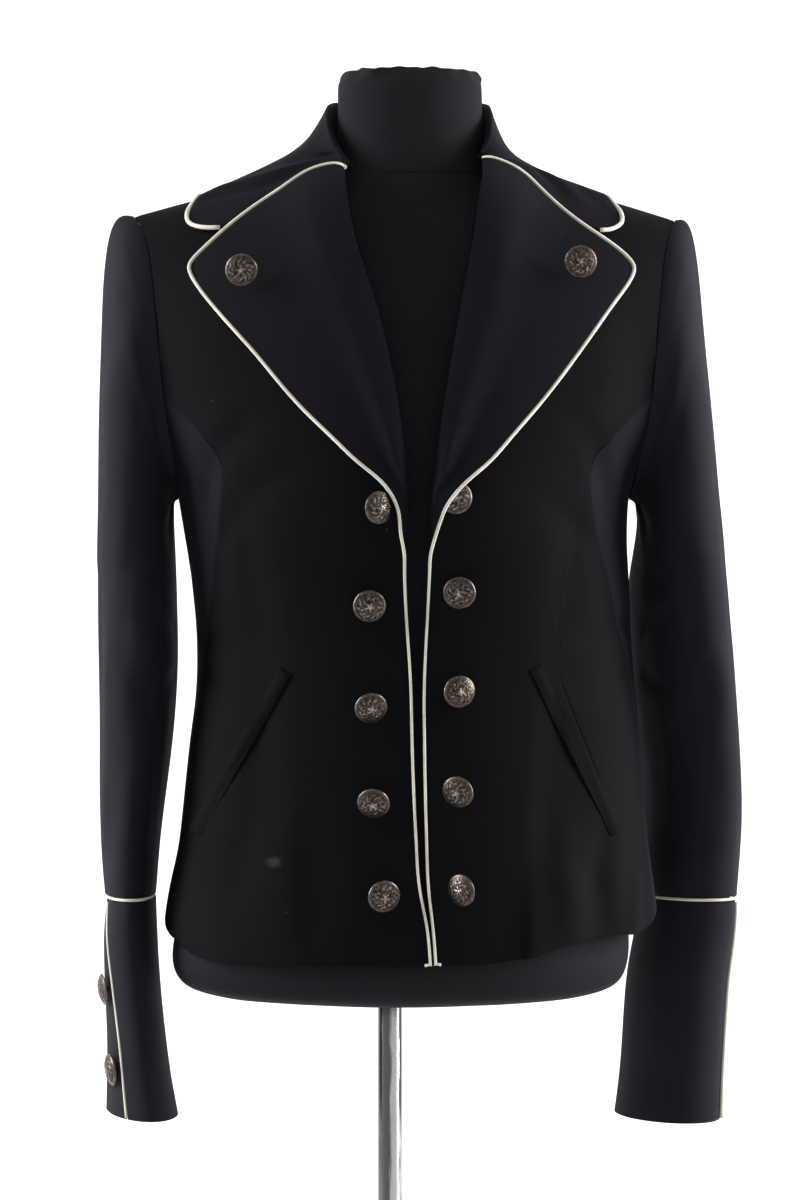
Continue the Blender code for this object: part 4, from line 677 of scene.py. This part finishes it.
# as BODY_FOLDS; around is 0 at the sleeve's front and + away from the body
SLEEVE_FOLDS = [
    (-0.060, 0.640, 0.010, 0.655, 0.011, -0.0020, 0.005),
    (-0.050, 0.668, 0.030, 0.690, 0.011, -0.0016, 0.005),
    (-0.065, 0.612, 0.000, 0.606, 0.010, -0.0017, -0.004),
    (-0.080, 0.765, -0.030, 0.705, 0.012, -0.0022, 0.004),
    (-0.060, 0.800, -0.014, 0.730, 0.012, -0.0016, 0.004),
    (0.012, 0.870, 0.030, 0.740, 0.016, 0.0013, 0.004),
    (-0.010, 0.560, 0.005, 0.480, 0.012, 0.0011, 0.003),
    (-0.040, 0.485, 0.040, 0.470, 0.009, -0.0012, 0.002),
    (0.070, 0.660, 0.130, 0.690, 0.012, -0.0020, 0.004),
    (0.075, 0.630, 0.140, 0.640, 0.011, -0.0018, 0.004),
    (0.080, 0.600, 0.135, 0.585, 0.011, -0.0015, -0.004),
    (0.060, 0.480, 0.120, 0.466, 0.009, -0.0012, 0.002),
    (0.080, 0.800, 0.110, 0.720, 0.014, -0.0016, 0.004),
    (0.020, 0.640, 0.026, 0.470, 0.010, 0.0010, 0.002),
    (0.000, 0.720, 0.004, 0.560, 0.008, -0.0008, 0.002),
    (0.036, 0.780, 0.034, 0.600, 0.009, -0.0008, 0.002),
    (-0.026, 0.600, -0.020, 0.460, 0.008, -0.0008, 0.002),
]


def sleeve_axis(side):
    """A sleeve's middle line, from the cuff up, as rows of x, y and z."""
    nodes_here = [f"upper_sleeve_{side}", f"under_sleeve_{side}", f"cuff_{side}"]
    cloud = np.concatenate([np.array([v.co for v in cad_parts[n].data.vertices]) for n in nodes_here])
    heights = np.linspace(AXIS_FROM, AXIS_TO, 21)
    middles = []
    for height in heights:
        ring = cloud[np.abs(cloud[:, 2] - height) < AXIS_SLICE]
        middles.append((ring.min(0) + ring.max(0))[:2] / 2)
    middles = np.array(middles)
    lean = np.polyfit(heights[-5:], middles[-5:], 1)[0]
    middles = np.vstack([middles, middles[-1] + lean * AXIS_RISE])
    return np.column_stack([middles, np.append(heights, AXIS_TO + AXIS_RISE)])


def round_sleeve(points, axis, sign):
    """As round_body, for one sleeve: 0 faces the front, + turns away from the body."""
    x = points[:, 0] - np.interp(points[:, 2], axis[:, 2], axis[:, 0])
    y = points[:, 1] - np.interp(points[:, 2], axis[:, 2], axis[:, 1])
    return np.arctan2(sign * x, -y) * SLEEVE_REACH, points[:, 2], level_ways(x, y)


def cuff_drop(side, up):
    """How far a cuff, and what is sewn on it, hangs down at a height."""
    return CUFF_HANG[side] * np.clip((HANG_FROM - up) / (HANG_FROM - HANG_TO), 0, 1)


# the sleeves and cuffs take the paler copy of the wool: painted light
sleeve_wool = wool_material("black_wool_twill_sleeve_lit", LIT_SLEEVE_WOOL, sheen=0.055)
for side, sign in (("left", 1), ("right", -1)):
    axis = sleeve_axis(side)
    for part, cut in SLEEVE_CUTS.items():
        node = f"{part}_{side}"
        obj = cut_cloth(node, 3, edge=SLEEVE_EDGE)
        points = read_points(obj)
        around, up, out = round_sleeve(points, axis, sign)
        moved = fold_heights(around, up, SLEEVE_FOLDS) + slack(around * 2, up)
        moved *= np.clip((SLEEVE_FOLDS_HELD - up) / (SLEEVE_FOLDS_HELD - SLEEVE_FOLDS_FREE), 0, 1)
        moved *= np.clip((up - SLEEVE_ENDS[side]) / 0.012, 0, 1)
        moved -= 0.5 * ARMHOLE_DIP * beside(points, [f"front_{side}", f"back_{side}"], SLEEVE_DIP_REACH)
        place_points(obj, seams_closed(obj, points, out) + out * moved[:, None])
        lay_weave(obj, around, up)
        finish_cloth(obj, node, material=sleeve_wool)
    node = f"cuff_{side}"
    obj = cut_cloth(node, 2)
    points = read_points(obj)
    around, up, out = round_sleeve(points, axis, sign)
    moved = slack(around * 2, up) * 0.6 * np.clip((0.43 - up) / 0.03, 0, 1)
    points[:, 2] -= cuff_drop(side, up)
    place_points(obj, points + out * moved[:, None])
    lay_weave(obj, around, up)
    sleeve = (f"cloth_upper_sleeve_{side}", f"cloth_under_sleeve_{side}")
    finish_cloth(obj, node, material=sleeve_wool)

# ---------------------------------------------------------------- Pocket welts
# One slanting welt on each front: a narrow folded strip of the same twill, pressed flat, with its ends
# tacked down.
WELT_LINES = {"left": ((0.1523, 0.4954), (0.1105, 0.6100)), "right": ((-0.1770, 0.4866), (-0.0945, 0.6100))}
SEWN_DOWN = 0.0013                 # how far the sewn edge is pulled into the front
SEWN_FROM, SEWN_WIDTH = 0.0035, 0.0080

# the welts take the fronts' darker copy of the wool: painted shade
body_wool = wool_material("black_wool_twill_welt_shaded", SHADED_FRONT_WOOL, sheen=0.014, specular=0.06)
for side in ("left", "right"):
    node = f"pocket_welt_{side}"
    obj = cut_cloth(node, 3)
    points = read_points(obj)
    around, up, out = round_body(points)
    moved = fold_heights(around, up, BODY_FOLDS) + slack(around, up)
    (low_a, low_u), (high_a, high_u) = WELT_LINES[side]
    length = math.hypot(high_a - low_a, high_u - low_u)
    aside = ((around - low_a) * (high_u - low_u) - (up - low_u) * (high_a - low_a)) / length
    aside *= 1 if side == "left" else -1             # + towards the free edge, - towards the sewn one
    sewn = np.clip((SEWN_FROM - aside) / SEWN_WIDTH, 0, 1)
    pucker = 0.85 + 0.15 * np.sin(up * 900) * np.sin(up * 390 + 1)
    moved -= SEWN_DOWN * eased(sewn) * pucker
    place_points(obj, points + out * moved[:, None])
    lay_weave(obj, around * 0.6 + up * 0.8, up * 0.6 - around * 0.8)
    finish_cloth(obj, node, material=body_wool)

# ---------------------------------------------------------------- Piping
# A cream cotton cord 2 to 3 mm thick in bias-cut cover, sewn into every edge: gorge, lapel and front, round
# the collar, round the top of each cuff and down each cuff's slit.
CAD_RADIUS = 0.0015
PIPING_RADIUS = 0.0016
THIN_RADIUS = 0.0011             # on the cuffs
# the cord is drawn thinner down the lapel and thinnest down the front edge
FRONT_HEIGHTS = (0.66, 0.74, 0.90, 0.93)
FRONT_RADII = (0.00104, 0.00130, 0.00135, 0.0015)
HOOK_TOP, HOOK_SPAN, HOOK_RAISED = 0.4105, 0.006, 0.0030     # the hooked end, drawn up against the hem
SHOULDER_TOP, SHOULDER_SIDE, SHOULDER_SUNK = 0.958, 0.115, 0.0026  # where the collar's edge covers the cord
SLIT_SHIFT = Vector((0.0014, -0.0026, 0))     # the left slit's cord lies on the cuff's outer edge
CUFF_PULL, CUFF_PULL_FROM = 0.0020, 0.75      # towards the body the sleeve's end hangs over the cord
CREAM = (0.66, 0.62, 0.53, 1)
SOILED_CREAM = (0.50, 0.46, 0.38, 1)


def piping_material():
    material, nodes, links, shader = new_material("cream_piping")
    threads = speckle(nodes, links, 1600, 2)
    soil = speckle(nodes, links, 45, 3)
    tone = nodes.new("ShaderNodeValToRGB")
    tone.color_ramp.elements[0].position = 0.30
    tone.color_ramp.elements[0].color = SOILED_CREAM
    tone.color_ramp.elements[1].position = 0.62
    tone.color_ramp.elements[1].color = CREAM
    links.new(soil, tone.inputs["Fac"])
    links.new(tone.outputs["Color"], shader.inputs["Base Color"])
    relief_on(shader, nodes, links, threads, 0.5, 0.0002)
    shader.inputs["Roughness"].default_value = 0.75
    shader.inputs["Sheen Weight"].default_value = 0.2
    return material


cream_piping = piping_material()
PIPINGS = ["piping_collar"] + [f"piping_{run}_{side}" for side in ("left", "right")
                               for run in ("front", "cuff_seam", "cuff_slit")]

def share_of(value):
    return min(1, max(0, value))


for node in PIPINGS:
    bm = cad_copy(node)
    bm.normal_update()
    for vert in bm.verts:
        radius = THIN_RADIUS if "cuff_seam" in node or node == "piping_cuff_slit_right" else PIPING_RADIUS
        if "front" in node:
            radius = float(np.interp(vert.co.z, FRONT_HEIGHTS, FRONT_RADII))
        vert.co += vert.normal * (radius - CAD_RADIUS)
        if node == "piping_cuff_slit_left":
            vert.co += SLIT_SHIFT
            vert.co.z -= cuff_drop("left", vert.co.z)
        if "front" in node:
            vert.co.z += HOOK_RAISED * share_of((HOOK_TOP - vert.co.z) / HOOK_SPAN)
        if node == "piping_collar":
            high = share_of((vert.co.z - SHOULDER_TOP) / 0.008)
            outer = share_of((abs(vert.co.x - BODY_CENTRE[0]) - SHOULDER_SIDE) / 0.02)
            vert.co.z -= SHOULDER_SUNK * high * outer
    crease_sharp(bm, math.radians(75), 0.8)        # rounds the cut ends
    if "cuff_seam" in node:
        low, high = min(v.co.x for v in bm.verts), max(v.co.x for v in bm.verts)
        body_side, way = (low, 1) if node.endswith("left") else (high, -1)
        for vert in bm.verts:
            inward = 1 - abs(vert.co.x - body_side) / (high - low)
            vert.co.x += way * CUFF_PULL * max(0, inward - CUFF_PULL_FROM) / (1 - CUFF_PULL_FROM)
    obj = finer(bm, "cord_" + node, 2)
    hand_over(obj, node, cream_piping)

# ---------------------------------------------------------------- Buttons
# Sixteen domed shank buttons of stamped brass, aged brown: a plain rolled rim, curling sprays, and a small
# five-petalled flower in low relief. Dirt sits in the hollows and the high points are rubbed.
BUTTON_RINGS = 26
BUTTON_STEPS = 84
FACE_SHARE = 0.985                 # of the button's radius, inside the rolled rim
SHANK_RADIUS = 0.0022
STAMPED_DEPTH = 0.00034
TURN_BETWEEN = 0.9                 # no two are sewn on at the same turn
BRASS_DARK = (0.012, 0.009, 0.008, 1)
BRASS_BROWN = (0.080, 0.063, 0.053, 1)
BRASS_RUBBED = (0.36, 0.30, 0.25, 1)


def button_relief(share, turn, tilt):
    """Height of the stamped pattern on a button's face: share runs from its middle to its rim."""
    turn = turn + tilt
    x, y = share * math.cos(turn), share * math.sin(turn)
    rough = noise.fractal((x * 9.5 + 3 * tilt, y * 9.5, 0.7), 0.9, 2.0, 4)
    petals = math.cos(2.5 * turn + 0.5 * rough) ** 2
    flower = max(0.0, 1 - (share / (0.20 + 0.20 * petals)) ** 4) * (0.5 + 0.5 * petals)
    heart = 0.9 * math.exp(-(share / 0.09) ** 2)
    curls = max(0.0, math.sin(11 * turn + 16 * share + 2.2 * rough))
    sprays = curls * math.exp(-((share - 0.60) / 0.17) ** 2)
    rim = 0.45 * math.exp(-((share - 0.93) / 0.05) ** 2)
    inside = min(1.0, max(0.0, (0.86 - share) / 0.06))
    return rim + (0.8 * flower + heart + 0.7 * sprays + 0.8 * rough) * inside


def brass_material():
    material, nodes, links, shader = new_material("aged_brass")
    height = nodes.new("ShaderNodeAttribute")
    height.attribute_name = "stamped"
    patina = speckle(nodes, links, 420, 5)
    worn = worked_out(nodes, links, "MULTIPLY_ADD", patina, 0.5, height.outputs["Fac"])
    tone = nodes.new("ShaderNodeValToRGB")
    tone.color_ramp.elements[0].position = 0.30
    tone.color_ramp.elements[0].color = BRASS_DARK
    tone.color_ramp.elements[1].position = 1.05
    tone.color_ramp.elements[1].color = BRASS_RUBBED
    tone.color_ramp.elements.new(0.62).color = BRASS_BROWN
    links.new(worn, tone.inputs["Fac"])
    links.new(tone.outputs["Color"], shader.inputs["Base Color"])
    rough = nodes.new("ShaderNodeMapRange")
    rough.inputs["To Min"].default_value = 0.55
    rough.inputs["To Max"].default_value = 0.22
    links.new(worn, rough.inputs["Value"])
    links.new(rough.outputs["Result"], shader.inputs["Roughness"])
    relief_on(shader, nodes, links, patina, 0.3, 0.0002)
    shader.inputs["Metallic"].default_value = 0.9
    return material


aged_brass = brass_material()
for count, node in enumerate(sorted(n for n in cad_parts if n.startswith("button_"))):
    tilt = TURN_BETWEEN * count
    cloud = np.unique(np.round([v.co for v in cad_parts[node].data.vertices], 6), axis=0)
    middle = cloud.mean(0)
    spread = np.linalg.eigh(np.cov((cloud - middle).T))
    facing = spread[1][:, 0]
    along = (cloud - middle) @ facing
    aside = np.linalg.norm((cloud - middle) - np.outer(along, facing), axis=1)
    # the shank's foot is a small flat disc, and the dome ends in a single point
    if aside[along > along.max() - 0.0003].max() > aside[along < along.min() + 0.0003].max():
        facing, along = -facing, -along
    widest = along[aside > aside.max() * 0.97].mean()
    radius = aside.max()
    foot, top = along.min(), along.max()
    axis_foot = middle + facing * foot
    rim_height = widest - foot
    profile = [(0, 0), (SHANK_RADIUS, 0.0), (SHANK_RADIUS, 0.0024), (radius * 0.80, 0.0026),
               (radius * 0.94, 0.0028), (radius * 0.995, rim_height - 0.0003), (radius, rim_height + 0.0004)]
    face_height = rim_height + 0.0006
    rise = top - foot - face_height
    for ring in range(1, BUTTON_RINGS + 1):
        share = 1 - ring / BUTTON_RINGS
        profile.append((radius * FACE_SHARE * share, face_height + rise * (1 - share**2.2)))
    bm = spun(profile, BUTTON_STEPS)
    stamped = bm.verts.layers.float.new("stamped")
    for vert in bm.verts:
        share = math.hypot(vert.co.x, vert.co.y) / (radius * FACE_SHARE)
        if vert.co.z > rim_height + 0.0005:
            high = button_relief(share, math.atan2(vert.co.y, vert.co.x), tilt)
            vert[stamped] = 0.22 + 0.45 * high
            vert.co.z += STAMPED_DEPTH * high
        else:
            vert[stamped] = 0.45
    upright = Vector(facing).to_track_quat("Z", "Y").to_matrix().to_4x4()
    bmesh.ops.transform(bm, verts=bm.verts, matrix=Matrix.Translation(axis_foot) @ upright)
    hand_over(new_object("stamped_" + node, bm), node, aged_brass)

# ---------------------------------------------------------------- Dress form
# A limbless torso covered in black stretch jersey, with a cap sewn on over its neck. The cap's seam shows as
# a thin line round the neck, and the jersey is gathered a little unevenly over its top.
CAP_SEAM = 0.9855
CAP_RING = 1.056
JERSEY = (0.0105, 0.0102, 0.0125, 1)
JERSEY_RIB = 0.0014
obj = finer(cad_copy("dress_form"), "jersey_form", 3)
points = read_points(obj)
around, up, out = round_body(points)
seam = np.exp(-((up - CAP_SEAM) / 0.0018) ** 2)
ring = np.exp(-((up - CAP_RING) / 0.0020) ** 2)
lumps = np.clip((up - CAP_RING + 0.02) / 0.02, 0, 1) * np.sin(95 * around + 1.0) * np.sin(31 * around)
place_points(obj, points - out * (0.0003 * seam + 0.0005 * ring)[:, None] + np.outer(lumps, (0, 0, 0.0007)))
lay_weave(obj, around, up)
jersey = wool_material("black_jersey", JERSEY, JERSEY_RIB, lint=1.5, bump=0.35, sheen=0.04, specular=0.08)
# the cap's seam round the neck, darkened as painted shade in its dip
sew_line(jersey, (-0.075, 0.9833), (0.200, 0.9850), width=0.0007, dip=1.6, lip=0.6, tone=-0.6)
hand_over(obj, "dress_form", jersey)

# ---------------------------------------------------------------- Stand
# A chromed steel tube screwed into a flanged socket on a heavy round base plate with a rolled edge. Its
# roughness is streaked up and down. Its colour is a painted reflection: dark grey on the pole's -X side, a
# bright band towards +X and a dark line beyond it.
KEEN_EDGE = math.radians(28)
# radius and height; each outline is the CAD's own, with its edges eased
TURNED = {
    "pole": [(0, 0.0363), (0.0088, 0.0363), (0.009, 0.0366), (0.009, 0.3690), (0.0088, 0.3697), (0, 0.3697)],
    "base_socket": [(0, 0.0073), (0.0196, 0.0073), (0.020, 0.0077), (0.020, 0.0106), (0.0192, 0.0116),
                    (0.0150, 0.0122), (0.0140, 0.0134), (0.0135, 0.0335), (0.0128, 0.0354), (0.0115, 0.0360),
                    (0, 0.0360)],
    "base": [(0, 0.0), (0.1475, 0.0), (0.1492, 0.0008), (0.150, 0.0024), (0.150, 0.0042), (0.1490, 0.0058),
             (0.1470, 0.0067), (0.1430, 0.0070), (0, 0.0070)],
}


def chrome_material():
    material, nodes, links, shader = new_material("chromed_steel")
    place = nodes.new("ShaderNodeTexCoord").outputs["Object"]
    stretch = nodes.new("ShaderNodeMapping")
    stretch.inputs["Scale"].default_value = (1, 1, 0.15)
    links.new(place, stretch.inputs["Vector"])
    rub = speckle(nodes, links, 220, 4, stretch.outputs["Vector"])
    tone = nodes.new("ShaderNodeMapRange")
    tone.inputs["To Min"].default_value = 0.12
    tone.inputs["To Max"].default_value = 0.34
    links.new(rub, tone.inputs["Value"])
    links.new(tone.outputs["Result"], shader.inputs["Roughness"])
    relief_on(shader, nodes, links, rub, 0.10, 0.0002)
    # painted reflection: the colour is set across Object X, dark grey on the -X side, a bright band towards
    # +X and a dark line beyond, its edges roughened by the streaks
    split = nodes.new("ShaderNodeSeparateXYZ")
    links.new(place, split.inputs[0])
    painted_reflection_x = worked_out(nodes, links, "MULTIPLY_ADD", rub, 0.008, split.outputs["X"])
    across = nodes.new("ShaderNodeMapRange")
    across.inputs["From Min"].default_value = -0.005
    across.inputs["From Max"].default_value = 0.013
    links.new(painted_reflection_x, across.inputs["Value"])
    plate = nodes.new("ShaderNodeValToRGB")
    plate.color_ramp.elements[0].color = (0.09, 0.09, 0.092, 1)
    plate.color_ramp.elements[1].color = (0.12, 0.12, 0.122, 1)
    for position, grey in ((0.20, 0.17), (0.46, 0.13), (0.60, 0.62), (0.86, 0.62), (0.94, 0.12)):
        plate.color_ramp.elements.new(position).color = (grey, grey, grey * 1.02, 1)
    links.new(across.outputs["Result"], plate.inputs["Fac"])
    links.new(plate.outputs["Color"], shader.inputs["Base Color"])
    shader.inputs["Metallic"].default_value = 1.0
    return material


chrome = chrome_material()
for node, profile in TURNED.items():
    bm = spun(profile, steps=128)
    for edge in bm.edges:
        edge.smooth = edge.calc_face_angle(0) < KEEN_EDGE
    hand_over(new_object("turned_" + node, bm), node, chrome)

# ---------------------------------------------------------------- Update of the view layer
bpy.context.view_layer.update()
